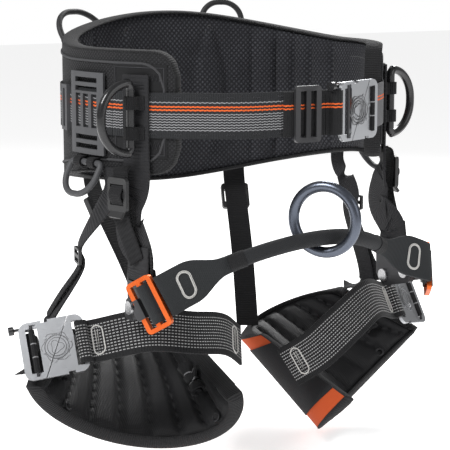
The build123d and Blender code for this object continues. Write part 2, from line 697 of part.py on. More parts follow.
# ---- Hip link, bridge and ring -------------------------------------------------------------------
def side_plate(points, radius, thickness, x):
    """Plate that stands square to X, outlined by (forward, drop) pairs."""
    outline = FilletPolyline(*[(-f, -d) for f, d in points], radius=radius, close=True)
    face = make_face(outline)
    plane = Plane((x, 0, 0), x_dir=(0, 1, 0), z_dir=(1, 0, 0))
    return plane.location * extrude(face, thickness / 2, both=True)


def x_cylinder(forward, drop, x0, x1, radius):
    length = x1 - x0
    return Pos((x0 + x1) / 2, -forward, -drop) * Rot(0, 90, 0) * Cylinder(radius, length)


def hip_link():
    """Forged plate that joins the hip riser, the bridge and the leg loop."""
    top = RISER_FOOT_DROP + WEB_END_GAP
    points = [
        (RISER_FOOT_FORWARD - 25, top), (RISER_FOOT_FORWARD + 25, top),
        (LINK_FORWARD + 12, LINK_DROP - 4), (LINK_FORWARD + 8, LINK_DROP + 11),
        (LEG_PIVOT_FORWARD, LEG_PIVOT_DROP + 12), (LEG_PIVOT_FORWARD - 14, LEG_PIVOT_DROP),
    ]
    plate = side_plate(points, 4, LINK_THICKNESS, LINK_X)
    slot = Pos(LINK_X, -RISER_FOOT_FORWARD, -top - 7) * Box(30, RISER_LOW_WIDTH + 1, 4.5)
    plate -= slot
    reach = (LINK_X - 20, LINK_X + 20)
    plate -= x_cylinder(LINK_FORWARD, LINK_DROP, *reach, PIN_RADIUS + PIN_CLEARANCE)
    plate -= x_cylinder(LEG_PIVOT_FORWARD, LEG_PIVOT_DROP, *reach, PIN_RADIUS + PIN_CLEARANCE)
    return plate.solid()


def headed_pin(forward, drop, reach):
    """Pin through the hip link, with a head on each end."""
    inner = LINK_X - LINK_THICKNESS / 2 - SIDE_GAP
    outer = LINK_X + LINK_THICKNESS / 2 + reach
    pin = x_cylinder(forward, drop, inner, outer, PIN_RADIUS)
    pin += x_cylinder(forward, drop, inner - PIN_HEAD, inner, PIN_HEAD_RADIUS)
    pin += x_cylinder(forward, drop, outer, outer + PIN_HEAD, PIN_HEAD_RADIUS)
    return pin.solid()


def frame_plane():
    """Plane of the orange frame: x towards the bridge, y along its bars."""
    towards = Vector(-0.45, -0.727, 0.5).normalized()
    down = Vector(-0.26, -0.42, -0.866)
    down = (down - towards * down.dot(towards)).normalized()
    rear_bar = hip_point(LINK_FORWARD + 7, LINK_DROP + 2.5, 20.5)
    return Plane(rear_bar + towards * (FRAME_WIDTH - FRAME_BAR) / 2, x_dir=towards, z_dir=towards.cross(down))


def bridge_frame():
    """Three-bar adjuster frame at one end of the bridge."""
    body = rounded_plate(FRAME_WIDTH, FRAME_LENGTH, FRAME_PLATE, 5)
    gap = (FRAME_WIDTH - 3 * FRAME_BAR) / 2
    for x in (-1, 1):
        body -= block(gap, FRAME_LENGTH - 2 * FRAME_BAR + 1.5, 20, (x * (gap + FRAME_BAR) / 2, 0, 0))
    return (frame_plane().location * body).solid()


def bridge_hanger(frame):
    """Black link from the bridge pivot to the frame's rear bar."""
    inner = LINK_X + LINK_THICKNESS / 2 + SIDE_GAP
    eye = x_cylinder(LINK_FORWARD, LINK_DROP, inner, inner + HANGER_WIDTH, EYE_RADIUS)
    plane = frame_plane()
    bar = plane.origin - plane.x_dir * (FRAME_WIDTH - FRAME_BAR) / 2
    clamp = Plane(bar, x_dir=plane.x_dir, z_dir=plane.z_dir).location * block(10, 20, 11)
    arm = x_cylinder(LINK_FORWARD + 5, LINK_DROP + 4, inner, bar.X, 6)
    body = eye + arm + clamp
    body -= frame
    bore = x_cylinder(LINK_FORWARD, LINK_DROP, inner - 20, inner + 60, PIN_RADIUS + PIN_CLEARANCE)
    head = x_cylinder(LINK_FORWARD, LINK_DROP, inner + HANGER_WIDTH, inner + 60, PIN_HEAD_RADIUS + SIDE_GAP)
    body = body - bore - head
    return max(body.solids(), key=lambda s: s.volume)


def bridge_point(x):
    """Middle line of the bridge's round sleeve: bowed forward and up between its ends."""
    bend = (x / SLEEVE_HALF) ** 2
    forward = LINK_FORWARD + BRIDGE_REACH - SLEEVE_SET_BACK * bend
    drop = LINK_DROP - BRIDGE_RISE + SLEEVE_FALL * bend
    return Vector(x, -forward, -drop)


def sleeve_path():
    return ThreePointArc(bridge_point(-SLEEVE_HALF), bridge_point(0), bridge_point(SLEEVE_HALF))


def bridge_sleeve():
    path = sleeve_path()
    section = Plane(path @ 0, z_dir=path % 0) * Circle(SLEEVE_RADIUS)
    return sweep(section, path=path).solid()


def bridge_tape():
    """Flat end of the bridge, from the frame in to the round sleeve."""
    plane = frame_plane()
    path = sleeve_path()
    start = plane.origin + plane.x_dir * (FRAME_WIDTH / 2 + TAPE_THICKNESS / 2 + TAPE_GAP)
    seam = path @ 1 + (path % 1) * TAPE_GAP
    curve = Bezier(start, start + plane.x_dir * TAPE_LEAD, seam + (path % 1) * 30, seam)
    down = plane.y_dir if plane.y_dir.Z < 0 else plane.y_dir * -1
    level = Vector(-0.25, 0, -1)
    steps = 8
    points, across, width = [], [], []
    for k in range(steps + 1):
        t = k / steps
        narrow = max(t - 0.45, 0) / 0.55
        points.append(curve @ t)
        across.append(down * (1 - t) + level * t)
        width.append(TAPE_WIDTH + (2 * SLEEVE_RADIUS - TAPE_WIDTH) * narrow)
    return strap(points, across, width, TAPE_THICKNESS)


def bridge_ring():
    """Round ring that rides on the bridge, standing up from it."""
    lift = RING_RADIUS - RING_ROD - SLEEVE_RADIUS - RING_REST_GAP
    c, s = polar(RING_TURN)
    plane = Plane(bridge_point(0) + Vector(0, 0, lift), z_dir=(-c, -s, 0))
    return (plane.location * Torus(RING_RADIUS, RING_ROD)).solid()


# ---- Leg loops -----------------------------------------------------------------------------------
def leg_point(x, y, z):
    """Point given from the leg pivot of the wearer's left: out, back and up."""
    return Vector(LINK_X + x, -LEG_PIVOT_FORWARD + y, -LEG_PIVOT_DROP + z)


def rear_edge(side):
    """Outer end, lowest point and inner end of the leg pad's rear edge."""
    return leg_point(27, 123, -41), leg_point(-55, 167, -74), leg_point(*LEG_REAR_INNER[side])


def front_edge(side):
    """The same for the front edge."""
    return leg_point(87, 56, -83), leg_point(-40, 37, -156), leg_point(*LEG_FRONT_INNER[side])


def scoop(edge, t):
    """Point on a U-shaped edge from its outer end, t = 0, round its lowest point to t = 1."""
    outer, deep, inner = edge
    middle = (outer + inner) * 0.5
    c, s = polar(180 * t)
    return middle + (outer - inner) * 0.5 * c + (deep - middle) * s


def leg_mid(side, t):
    return (scoop(rear_edge(side), t) + scoop(front_edge(side), t)) * 0.5


def leg_axis(side, t):
    """Across the leg pad at t, from its rear edge to its front edge."""
    return scoop(front_edge(side), t) - scoop(rear_edge(side), t)


def leg_normal(side, t):
    """Unit vector out of the thigh at t."""
    along = leg_mid(side, t + 0.01) - leg_mid(side, t - 0.01)
    return leg_axis(side, t).cross(along).normalized()


def leg_layer(side, inner, outer):
    """Layer of the leg pad between two offsets from its middle surface."""
    sections = []
    for k in range(LEG_STATIONS + 1):
        t = k / LEG_STATIONS
        n = leg_normal(side, t)
        rear, front = scoop(rear_edge(side), t), scoop(front_edge(side), t)
        sections.append([rear + n * inner, front + n * inner, front + n * outer, rear + n * outer])
    return quad_loft(sections)


def leg_buckle_plane():
    """Plane of a leg's quick buckle: x from the outer end towards the groin, y down, z out."""
    outer, inner = leg_point(95, 65, -49), leg_point(40, 37, -38)
    x_dir = (inner - outer).normalized()
    y_dir = (LEG_WEB_TILT - x_dir * LEG_WEB_TILT.dot(x_dir)).normalized()
    return Plane((outer + inner) * 0.5, x_dir=x_dir, z_dir=x_dir.cross(y_dir))


def leg_front_strap(side):
    """Front strap from the buckle across the thigh to the pad's inner end."""
    plane = leg_buckle_plane()
    lie = BUCKLE_PLATE / 2 + LEG_WEB_THICKNESS / 2 + LEG_STRAP_GAP
    start = plane.origin + plane.x_dir * (BUCKLE_SLOT_X + BUCKLE_SLOT / 2 + WEB_END_GAP) - plane.z_dir * lie
    end = leg_point(*LEG_STRAP_INNER[side])
    near_end = end + Vector(28, -12, 18)
    points = [
        start, start + plane.x_dir * 14, leg_point(-15, 6, -27),
        leg_point(-60, -8, -37) * 0.6 + (near_end + Vector(36, -4, 14)) * 0.4, near_end, end,
    ]
    across = [plane.y_dir] * 2 + [LEG_WEB_TILT] * 4
    return strap(points, across, WEB_WIDTH, LEG_WEB_THICKNESS)


def leg_outer_strap(side):
    """Webbing from the pad's outer end to the buckle's clamp bar."""
    plane = leg_buckle_plane()
    lie = BUCKLE_PLATE / 2 + WEB_THICKNESS / 2 + OUTER_STRAP_GAP
    end = plane.origin + plane.x_dir * BUCKLE_WINDOW_X - plane.z_dir * lie
    before = plane.origin - plane.x_dir * (BUCKLE_LENGTH / 2 - 3) - plane.z_dir * lie
    out = leg_normal(side, 0.04) * (LEG_SHELL_OUT + WEB_THICKNESS + WEB_WIDTH * LEG_STRAP_LIFT)
    points = [leg_mid(side, 0.07) + out, leg_mid(side, 0.01) + out, before, end]
    across = [leg_axis(side, 0.07), leg_axis(side, 0.01), plane.y_dir, plane.y_dir]
    return strap(points, across, WEB_WIDTH - 4, WEB_THICKNESS)


def leg_link():
    """Black link from the leg pivot down to the front strap."""
    x = LINK_X + LINK_THICKNESS / 2 + SIDE_GAP + LEG_EYE_WIDTH / 2
    p, d = LEG_PIVOT_FORWARD, LEG_PIVOT_DROP
    points = [(p - 9, d - 9), (p + 9, d - 9), (p + 6, d + 14), (p - 14, d + 12)]
    plate = side_plate(points, 6, LEG_EYE_WIDTH, x)
    plate -= x_cylinder(p, d, x - 10, x + 10, PIN_RADIUS + PIN_CLEARANCE)
    return plate.solid()


# ---- Writing the sub-parts -----------------------------------------------------------------------
def mirrored(solid):
    return mirror(solid, about=Plane.YZ)


def write(name, *solids):
    """Write a node's STEP file; a node of several solids is one compound."""
    shape = solids[0] if len(solids) == 1 else Compound(children=list(solids))
    export_step(shape, f"parts/{name}.step")


def write_pair(name, solid):
    """One file for each side, the wearer's left as modelled."""
    write(f"{name}_left", solid)
    write(f"{name}_right", mirrored(solid))


def write_buckle(name, plane, flipped=False, side=1):
    """Four files for a quick buckle; a flipped one has its knob on the other edge."""
    makers = {"frame": buckle_frame, "plate": buckle_plate, "bar": buckle_bar, "knob": buckle_knob}
    for piece, make in makers.items():
        solid = mirror(make(), about=Plane.XZ) if flipped else make()
        solid = (plane.location * solid).solid()
        write(f"{name}_{piece}", solid if side == 1 else mirrored(solid))


def write_belt():
    write("waist_pad", pad_layer(-PAD_THICKNESS / 2, PAD_THICKNESS / 2))
    write("waist_shell", pad_layer(SHELL_IN, SHELL_OUT))
    write("waist_binding", *waist_binding())
    for name, make in (("hip_plates", hip_plate), ("slot_loops", slot_loop)):
        solid = make()
        write(name, solid, mirrored(solid))
    frame_end = BUCKLE_FROM_CENTRE - BUCKLE_WINDOW_X
    slot_end = BUCKLE_FROM_CENTRE - BUCKLE_SLOT_X
    web = (WEB_IN, WEB_OUT, WEB_LOW, WEB_HIGH)
    tail = (OVER_IN, OVER_OUT, WEB_LOW, WEB_HIGH)
    write("back_webbing", belt_band(-WEB_JOIN, WEB_JOIN, *web))
    write("front_webbing", belt_band(left_front(slot_end), -WEB_JOIN - LAYER_GAP, *web))
    write("front_webbing_tail", belt_band(left_front(slot_end), left_front(-TAIL_BACK), *tail))
    write("belt_stub", belt_band(WEB_JOIN + LAYER_GAP, FRONT_CENTRE - frame_end, *web))
    write("front_adjuster", front_adjuster())
    write_buckle("waist_buckle", waist_buckle_plane())


def write_risers():
    write_pair("hip_riser", hip_riser())
    for name, make in (("lock_straps", lock_strap), ("ladder_locks", ladder_lock),
                       ("riser_clips", rear_clip)):
        solid = make()
        write(name, solid, mirrored(solid))
    write("side_sliders", side_slider(1), mirrored(side_slider(-1)))
    write("side_riser_left", side_riser(1))
    write("side_riser_right", mirrored(side_riser(-1)))
    write_pair("rear_riser", rear_riser())


def write_rings():
    write("d_ring_keepers", *d_ring_keepers())
    ring_tabs, loop_tabs = [], []
    for side, word in ((1, "left"), (-1, "right")):
        write(f"d_ring_{word}", d_ring(side))
        plane = rear_ring_plane(side)
        write(f"rear_ring_{word}", bow(plane, REAR_RING_WIDTH[side], REAR_RING_REACH, REAR_RING_ROD))
        ring_tabs += bar_tabs(plane, side * REAR_RING_STATION[side], REAR_RING_ROD)
        plane = gear_loop_plane(side)
        write(f"gear_loop_{word}", bow(plane, GEAR_LOOP_WIDTH, GEAR_LOOP_REACH, GEAR_LOOP_ROD))
        loop_tabs += bar_tabs(plane, side * GEAR_LOOP_STATION, GEAR_LOOP_ROD)
    write("rear_ring_tabs", *ring_tabs)
    write("gear_loop_tabs", *loop_tabs)


def write_bridge():
    write_pair("hip_link", hip_link())
    pins = [headed_pin(LINK_FORWARD, LINK_DROP, HANGER_WIDTH + 2 * SIDE_GAP),
            headed_pin(LEG_PIVOT_FORWARD, LEG_PIVOT_DROP, LEG_EYE_WIDTH + 2 * SIDE_GAP)]
    write("link_pins", *pins, *[mirrored(pin) for pin in pins])
    frame = bridge_frame()
    write_pair("bridge_frame", frame)
    for name, solid in (("bridge_hangers", bridge_hanger(frame)), ("bridge_tapes", bridge_tape())):
        write(name, solid, mirrored(solid))
    write("bridge_sleeve", bridge_sleeve())
    write("bridge_ring", bridge_ring())


def write_legs():
    write_pair("leg_link", leg_link())
    for side, word in ((1, "left"), (-1, "right")):
        pieces = {
            "leg_pad": [leg_layer(side, -LEG_PAD_THICKNESS / 2, LEG_PAD_THICKNESS / 2)],
            "leg_shell": [leg_layer(side, LEG_SHELL_IN, LEG_SHELL_OUT)],
            "leg_webbing": [leg_front_strap(side), leg_outer_strap(side)],
        }
        for name, solids in pieces.items():
            write(f"{name}_{word}", *(solids if side == 1 else [mirrored(solid) for solid in solids]))
        write_buckle(f"leg_buckle_{word}", leg_buckle_plane(), True, side)


def main():
    os.makedirs("parts", exist_ok=True)
    write_belt()
    write_risers()
    write_rings()
    write_bridge()
    write_legs()


if __name__ == "__main__":
    main()
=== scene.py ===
"""Looks of a tree climbing saddle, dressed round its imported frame."""
import enum
import json
import logging
import math
from dataclasses import dataclass, field
from typing import Callable, Iterable, Sequence

import bpy
from mathutils import Matrix, Vector


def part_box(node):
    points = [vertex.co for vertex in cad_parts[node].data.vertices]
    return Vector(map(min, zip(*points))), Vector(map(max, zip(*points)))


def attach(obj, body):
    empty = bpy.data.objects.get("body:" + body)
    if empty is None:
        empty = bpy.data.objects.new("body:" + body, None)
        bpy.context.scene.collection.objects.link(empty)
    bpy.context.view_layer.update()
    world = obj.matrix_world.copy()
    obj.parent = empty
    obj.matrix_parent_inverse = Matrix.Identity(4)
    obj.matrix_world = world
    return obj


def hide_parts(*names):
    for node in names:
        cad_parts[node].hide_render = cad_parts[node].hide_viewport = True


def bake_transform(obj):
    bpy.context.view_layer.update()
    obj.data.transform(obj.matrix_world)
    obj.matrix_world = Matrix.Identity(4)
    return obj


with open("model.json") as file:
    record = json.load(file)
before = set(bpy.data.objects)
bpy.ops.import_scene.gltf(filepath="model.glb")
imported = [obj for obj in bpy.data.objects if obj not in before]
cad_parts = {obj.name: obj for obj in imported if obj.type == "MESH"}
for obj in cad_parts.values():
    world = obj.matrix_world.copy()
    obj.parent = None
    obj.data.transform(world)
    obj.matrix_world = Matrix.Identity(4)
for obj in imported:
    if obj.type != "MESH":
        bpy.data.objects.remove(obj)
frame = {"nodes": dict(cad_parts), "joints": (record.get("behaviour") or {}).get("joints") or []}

LOG = logging.getLogger("saddle")
MM = 0.001
JOINTS = {joint["name"]: joint for joint in frame["joints"]}
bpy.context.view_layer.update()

Colour = tuple[float, float, float]
Lift = Callable[[float, float, int], float]


class Side(enum.Enum):
    """Which side of the wearer a piece is on, with the sign of its X."""

    LEFT = 1
    RIGHT = -1

    @property
    def word(self) -> str:
        """The side's name as node names spell it."""
        return self.name.lower()


class Weave(enum.Enum):
    """How a cloth's surface is made."""

    RIBBED = "ribbed"
    MESH = "mesh"
    PLAIN = "plain"


# ---- Finishes --------------------------------------------------------------------------------------
class Graph:
    """A node material under construction."""

    def __init__(self, name: str) -> None:
        """Start a material that holds only its shader and output.

        Args:
            name: the material's name.
        """
        self.material = bpy.data.materials.new(name)
        self.material.use_nodes = True
        self.nodes = self.material.node_tree.nodes
        self.links = self.material.node_tree.links
        self.shader = self.nodes["Principled BSDF"]

    def plug(self, target: bpy.types.NodeSocket, value: object) -> None:
        """Link a socket, or set a constant on it.

        Args:
            target: the input socket.
            value: an output socket, a number or a colour.
        """
        if isinstance(value, bpy.types.NodeSocket):
            self.links.new(value, target)
        elif isinstance(value, tuple) and len(value) == 3 and target.type == "RGBA":
            target.default_value = (*value, 1.0)
        else:
            target.default_value = value

    def math(self, operation: str, *values: object) -> bpy.types.NodeSocket:
        """Add a Math node.

        Args:
            operation: Blender's name for the operation.
            values: up to three sockets or numbers.

        Returns:
            The node's output.
        """
        node = self.nodes.new("ShaderNodeMath")
        node.operation = operation
        for socket, value in zip(node.inputs, values):
            self.plug(socket, value)
        return node.outputs[0]

    def mix(self, factor: object, first: object, second: object) -> bpy.types.NodeSocket:
        """Blend two colours.

        Args:
            factor: how much of the second colour shows.
            first: the colour at 0.
            second: the colour at 1.

        Returns:
            The blended colour.
        """
        node = self.nodes.new("ShaderNodeMix")
        node.data_type = "RGBA"
        self.plug(node.inputs[0], factor)
        self.plug(node.inputs[6], first)
        self.plug(node.inputs[7], second)
        return node.outputs[2]

    def surface(self) -> tuple[bpy.types.NodeSocket, bpy.types.NodeSocket]:
        """The piece's own UV map, in metres along and across it.

        Returns:
            The distance along and the distance across.
        """
        coordinates = self.nodes.new("ShaderNodeTexCoord")
        split = self.nodes.new("ShaderNodeSeparateXYZ")
        self.links.new(coordinates.outputs["UV"], split.inputs[0])
        return split.outputs[0], split.outputs[1]

    def noise(self, scale: float, detail: float = 3.0,
              stretch: Sequence[float] = (1, 1, 1)) -> bpy.types.NodeSocket:
        """Noise on object coordinates.

        Args:
            scale: how fine it is, in cycles for each metre.
            detail: how many octaves it has.
            stretch: scale along each axis.

        Returns:
            The noise, from 0 to 1.
        """
        coordinates = self.nodes.new("ShaderNodeTexCoord")
        mapping = self.nodes.new("ShaderNodeMapping")
        mapping.inputs["Scale"].default_value = stretch
        noise = self.nodes.new("ShaderNodeTexNoise")
        noise.inputs["Scale"].default_value = scale
        noise.inputs["Detail"].default_value = detail
        self.links.new(coordinates.outputs["Object"], mapping.inputs[0])
        self.links.new(mapping.outputs[0], noise.inputs["Vector"])
        return noise.outputs["Fac"]

    def bump(self, height: object, distance: float, strength: float = 1.0) -> None:
        """Give the shader a bump.

        Args:
            height: the height socket, from 0 to 1.
            distance: how deep it is, in metres.
            strength: how much of it shows.
        """
        node = self.nodes.new("ShaderNodeBump")
        node.inputs["Strength"].default_value = strength
        node.inputs["Distance"].default_value = distance
        self.plug(node.inputs["Height"], height)
        self.links.new(node.outputs[0], self.shader.inputs["Normal"])

    def ripple(self, distance: object, pitch: float) -> bpy.types.NodeSocket:
        """A sine from 0 to 1 along a distance.

        Args:
            distance: the distance socket, in metres.
            pitch: the length of one wave, in metres.

        Returns:
            The wave.
        """
        wave = self.math("SINE", self.math("MULTIPLY", distance, 2 * math.pi / pitch))
        return self.math("MULTIPLY_ADD", wave, 0.5, 0.5)


@dataclass(frozen=True)
class Line:
    """A coloured line woven along a strap."""

    across: float
    half_width: float
    colour: Colour
    wave: float = 0.0
    dash: float = 0.0


@dataclass(frozen=True)
class ClothFinish:
    """Webbing, tape, mesh or plain cloth, patterned on the piece's own UV map."""

    name: str
    ground: Colour
    lines: tuple[Line, ...] = ()
    weave: Weave = Weave.RIBBED
    pitch: float = 0.0022
    depth: float = 0.0005
    roughness: float = 0.86
    # highlight is a painted highlight colour laid on the raised weave; highlight_share is how much of it
    # shows.
    highlight: Colour = (0.045, 0.045, 0.048)
    highlight_share: float = 0.25
    sheen: float = 0.05

    def relief(self, graph: Graph) -> bpy.types.NodeSocket:
        """Height of the weave.

        Args:
            graph: the material under construction.

        Returns:
            The height, from 0 to 1.
        """
        along, across = graph.surface()
        if self.weave is Weave.RIBBED:
            ribs = graph.ripple(along, self.pitch)
            yarns = graph.ripple(across, self.pitch * 0.8)
            return graph.math("MULTIPLY_ADD", ribs, 0.7, graph.math("MULTIPLY", yarns, 0.3))
        if self.weave is Weave.MESH:
            one = graph.ripple(graph.math("ADD", along, across), self.pitch * 1.4)
            two = graph.ripple(graph.math("SUBTRACT", along, across), self.pitch * 1.4)
            return graph.math("MULTIPLY", one, two)
        one = graph.ripple(along, self.pitch)
        return graph.math("MULTIPLY", one, graph.ripple(across, self.pitch))

    def striped(self, graph: Graph, colour: object) -> object:
        """Lay the lines over the ground.

        Args:
            graph: the material under construction.
            colour: the ground's colour.

        Returns:
            The colour with its lines.
        """
        along, across = graph.surface()
        for line in self.lines:
            place: object = across
            if line.wave:
                sway = graph.math("SINE", graph.math("MULTIPLY", along, 2 * math.pi / 0.0044))
                place = graph.math("MULTIPLY_ADD", sway, line.wave, across)
            away = graph.math("ABSOLUTE", graph.math("SUBTRACT", place, line.across))
            inside = graph.math("LESS_THAN", away, line.half_width)
            if line.dash:
                gaps = graph.math("GREATER_THAN", graph.ripple(along, line.dash), 0.3)
                inside = graph.math("MULTIPLY", inside, gaps)
            colour = graph.mix(inside, colour, line.colour)
        return colour

    def material(self) -> bpy.types.Material:
        """Build the material, or return the one already built.

        Returns:
            The material.
        """
        if self.name in bpy.data.materials:
            return bpy.data.materials[self.name]
        graph = Graph(self.name)
        relief = self.relief(graph)
        # Painted highlight: the highlight colour is mixed over the ground where the weave stands up, in
        # patches set by noise.
        painted_highlight = graph.math("MULTIPLY", graph.noise(38.0), relief)
        ground = graph.mix(graph.math("MULTIPLY", painted_highlight, self.highlight_share), self.ground, self.highlight)
        graph.plug(graph.shader.inputs["Base Color"], self.striped(graph, ground))
        graph.plug(graph.shader.inputs["Roughness"], self.roughness)
        graph.plug(graph.shader.inputs["Sheen Weight"], self.sheen)
        graph.plug(graph.shader.inputs["Sheen Roughness"], 0.5)
        graph.plug(graph.shader.inputs["Specular IOR Level"], 0.25)
        graph.bump(relief, self.depth)
        return graph.material


@dataclass(frozen=True)
class HardFinish:
    """Metal or moulded plastic, patterned on object coordinates."""

    name: str
    colour: Colour
    metallic: float
    roughness: float
    grain: float = 220.0
    grain_depth: float = 0.00004
    wear: Colour = (0.5, 0.5, 0.5)
    wear_share: float = 0.12
    brushed: bool = False
    coat: float = 0.0

    def material(self) -> bpy.types.Material:
        """Build the material, or return the one already built.

        Returns:
            The material.
        """
        if self.name in bpy.data.materials:
            return bpy.data.materials[self.name]
        graph = Graph(self.name)
        stretch = (1, 1, 14) if self.brushed else (1, 1, 1)
        grain = graph.noise(self.grain, 4.0, stretch)
        blotch = graph.noise(26.0, 5.0)
        edge = graph.nodes.new("ShaderNodeNewGeometry").outputs["Pointiness"]
        ridge = graph.math("MULTIPLY", graph.math("SUBTRACT", edge, 0.53), 9.0)
        ridge = graph.math("MINIMUM", graph.math("MAXIMUM", ridge, 0.0), 1.0)
        scuff = graph.math("MULTIPLY", graph.math("MULTIPLY_ADD", blotch, 0.8, ridge), self.wear_share)
        graph.plug(graph.shader.inputs["Base Color"], graph.mix(scuff, self.colour, self.wear))
        graph.plug(graph.shader.inputs["Metallic"], self.metallic)
        rough = graph.math("MULTIPLY_ADD", grain, 0.22, self.roughness - 0.08)
        graph.plug(graph.shader.inputs["Roughness"], rough)
        graph.plug(graph.shader.inputs["Coat Weight"], self.coat)
        graph.bump(grain, self.grain_depth)
        return graph.material


GREY_LINE: Colour = (0.27, 0.27, 0.28)
ORANGE_LINE: Colour = (0.78, 0.13, 0.025)
PALE_LINE: Colour = (0.40, 0.40, 0.40)


def belt_lines() -> tuple[Line, ...]:
    """Two wavy orange lines over seven grey ones, inside dark edges.

    Returns:
        The lines of the waist webbing.
    """
    orange = [Line(place * MM, 0.75 * MM, ORANGE_LINE, 0.22 * MM) for place in (5.6, 8.8)]
    grey = [Line((1.6 - 2.6 * k) * MM, 0.5 * MM, GREY_LINE, 0.3 * MM) for k in range(7)]
    return (*orange, *grey, Line(13.0 * MM, 0.5 * MM, GREY_LINE, 0.3 * MM))


def pale_lines(half_width: float) -> tuple[Line, ...]:
    """Fine pale lines over the middle of a leg strap.

    Args:
        half_width: how far from the middle they run, in metres.

    Returns:
        The lines.
    """
    count = 11
    places = [half_width * (2 * k / (count - 1) - 1) for k in range(count)]
    return tuple(Line(place, 0.5 * MM, PALE_LINE, dash=0.0026) for place in places)


# Each cloth's highlight colour below is a painted highlight on its raised weave.
BELT_WEB = ClothFinish("belt_webbing", (0.020, 0.021, 0.023), belt_lines())
TAIL_WEB = ClothFinish("tail_webbing", (0.012, 0.012, 0.013), belt_lines()[:2])
STUB_WEB = ClothFinish("stub_webbing", (0.115, 0.115, 0.12), belt_lines()[:2], depth=0.0008,
                       highlight=(0.22, 0.22, 0.23), highlight_share=0.8)
BUCKLE_WEB = ClothFinish("buckle_webbing", (0.010, 0.010, 0.011),
                         tuple(Line(place * MM, 0.6 * MM, GREY_LINE) for place in (-7.0, 7.0)))
LEG_WEB = ClothFinish("leg_webbing", (0.012, 0.012, 0.013), pale_lines(16 * MM))
BLACK_WEB = ClothFinish("black_webbing", (0.009, 0.009, 0.010), pitch=0.0026, depth=0.0006)
GREY_WEB = ClothFinish("grey_webbing", (0.021, 0.021, 0.023), pitch=0.0026, depth=0.0006)
BRIDGE_TAPE = ClothFinish("bridge_tape", (0.024, 0.026, 0.028), pitch=0.0016, depth=0.0003)
BRIDGE_SLEEVE = ClothFinish("bridge_sleeve", (0.020, 0.021, 0.023), weave=Weave.MESH, pitch=0.0018,
                            depth=0.0003)
PAD_MESH = ClothFinish("pad_mesh", (0.014, 0.014, 0.017), weave=Weave.MESH, pitch=0.0042, depth=0.0009,
                       highlight=(0.11, 0.115, 0.13), highlight_share=0.9)
SHELL_MESH = ClothFinish("shell_mesh", (0.012, 0.012, 0.013), weave=Weave.MESH, pitch=0.0030, depth=0.0006,
                         highlight=(0.06, 0.06, 0.065), highlight_share=0.7)
PATCH_CLOTH = ClothFinish("patch_cloth", (0.012, 0.012, 0.013), weave=Weave.PLAIN, pitch=0.0012, depth=0.0002)
LEG_INSIDE = ClothFinish("leg_inside", (0.008, 0.008, 0.009), weave=Weave.PLAIN, pitch=0.0016,
                         depth=0.0002, roughness=0.5, highlight=(0.08, 0.08, 0.085), highlight_share=0.4)
LEG_SHELL = ClothFinish("leg_shell", (0.018, 0.018, 0.020), weave=Weave.PLAIN, pitch=0.0016, depth=0.0003)
ORANGE_CLOTH = ClothFinish("orange_cloth", (0.56, 0.085, 0.020), weave=Weave.PLAIN, pitch=0.0014,
                           depth=0.0002, highlight=(0.75, 0.20, 0.08))
EDGE_TAPE = ClothFinish("edge_tape", (0.010, 0.010, 0.011), pitch=0.0024, depth=0.0006,
                        highlight=(0.05, 0.05, 0.052), highlight_share=0.5)
PIPING = ClothFinish("piping", (0.055, 0.055, 0.058), pitch=0.0016, depth=0.0003)
PALE_THREAD = ClothFinish("pale_thread", (0.58, 0.57, 0.55), pitch=0.0010, depth=0.0002, highlight_share=0.0)
ORANGE_THREAD = ClothFinish("orange_thread", (0.70, 0.16, 0.05), pitch=0.0010, depth=0.0002,
                            highlight_share=0.0)
DARK_THREAD = ClothFinish("dark_thread", (0.05, 0.05, 0.055), pitch=0.0010, depth=0.0002)
ELASTIC = ClothFinish("elastic", (0.012, 0.012, 0.013), pitch=0.0018, depth=0.0004)

SATIN_SILVER = HardFinish("satin_silver", (0.43, 0.44, 0.46), 1.0, 0.30, brushed=True,
                          wear=(0.62, 0.62, 0.63))
STEEL = HardFinish("bright_steel", (0.52, 0.52, 0.53), 1.0, 0.25, brushed=True)
GLOSS_BLACK = HardFinish("gloss_black", (0.012, 0.012, 0.013), 0.35, 0.22, wear=(0.16, 0.16, 0.17), coat=0.4)
SATIN_BLACK = HardFinish("satin_black", (0.016, 0.016, 0.018), 0.5, 0.38, wear=(0.25, 0.25, 0.26))
ANODISED_ORANGE = HardFinish("anodised_orange", (0.62, 0.085, 0.006), 0.75, 0.30, wear=(0.90, 0.34, 0.12))
ETCHED = HardFinish("etched_line", (0.13, 0.13, 0.135), 0.8, 0.45)
ANODISED_GREY = HardFinish("anodised_grey", (0.105, 0.118, 0.150), 0.95, 0.26, wear=(0.42, 0.45, 0.50))
MOULDED_GREY = HardFinish("moulded_grey", (0.055, 0.056, 0.060), 0.0, 0.55, grain=900.0, grain_depth=0.00008,
                          wear=(0.16, 0.16, 0.17))
MOULDED_BLACK = HardFinish("moulded_black", (0.014, 0.014, 0.015), 0.0, 0.42, grain=900.0,
                           grain_depth=0.00006, wear=(0.10, 0.10, 0.10))
SOFT_RUBBER = HardFinish("soft_rubber", (0.014, 0.014, 0.015), 0.0, 0.6, grain=600.0, grain_depth=0.00006,
                         wear=(0.09, 0.09, 0.09))

Finish = ClothFinish | HardFinish


# ---- Surfaces that cloth follows ---------------------------------------------------------------------
def eased(points: Sequence[Vector], t: float) -> Vector:
    """Point on a smooth line through the given points.

    Args:
        points: the line's points, in order.
        t: from 0 at the first point to 1 at the last.

    Returns:
        The point on the line.
    """
    spans = len(points) - 1
    place = min(max(t, 0.0), 1.0) * spans
    i = min(int(place), spans - 1)
    u = place - i
    before = points[i - 1] if i > 0 else points[0] * 2 - points[1]
    after = points[i + 2] if i + 2 <= spans else points[spans] * 2 - points[spans - 1]
    a, b = points[i], points[i + 1]
    return 0.5 * (2 * a + (b - before) * u + (2 * before - 5 * a + 4 * b - after) * u * u
                  + (3 * (a - b) + after - before) * u ** 3)


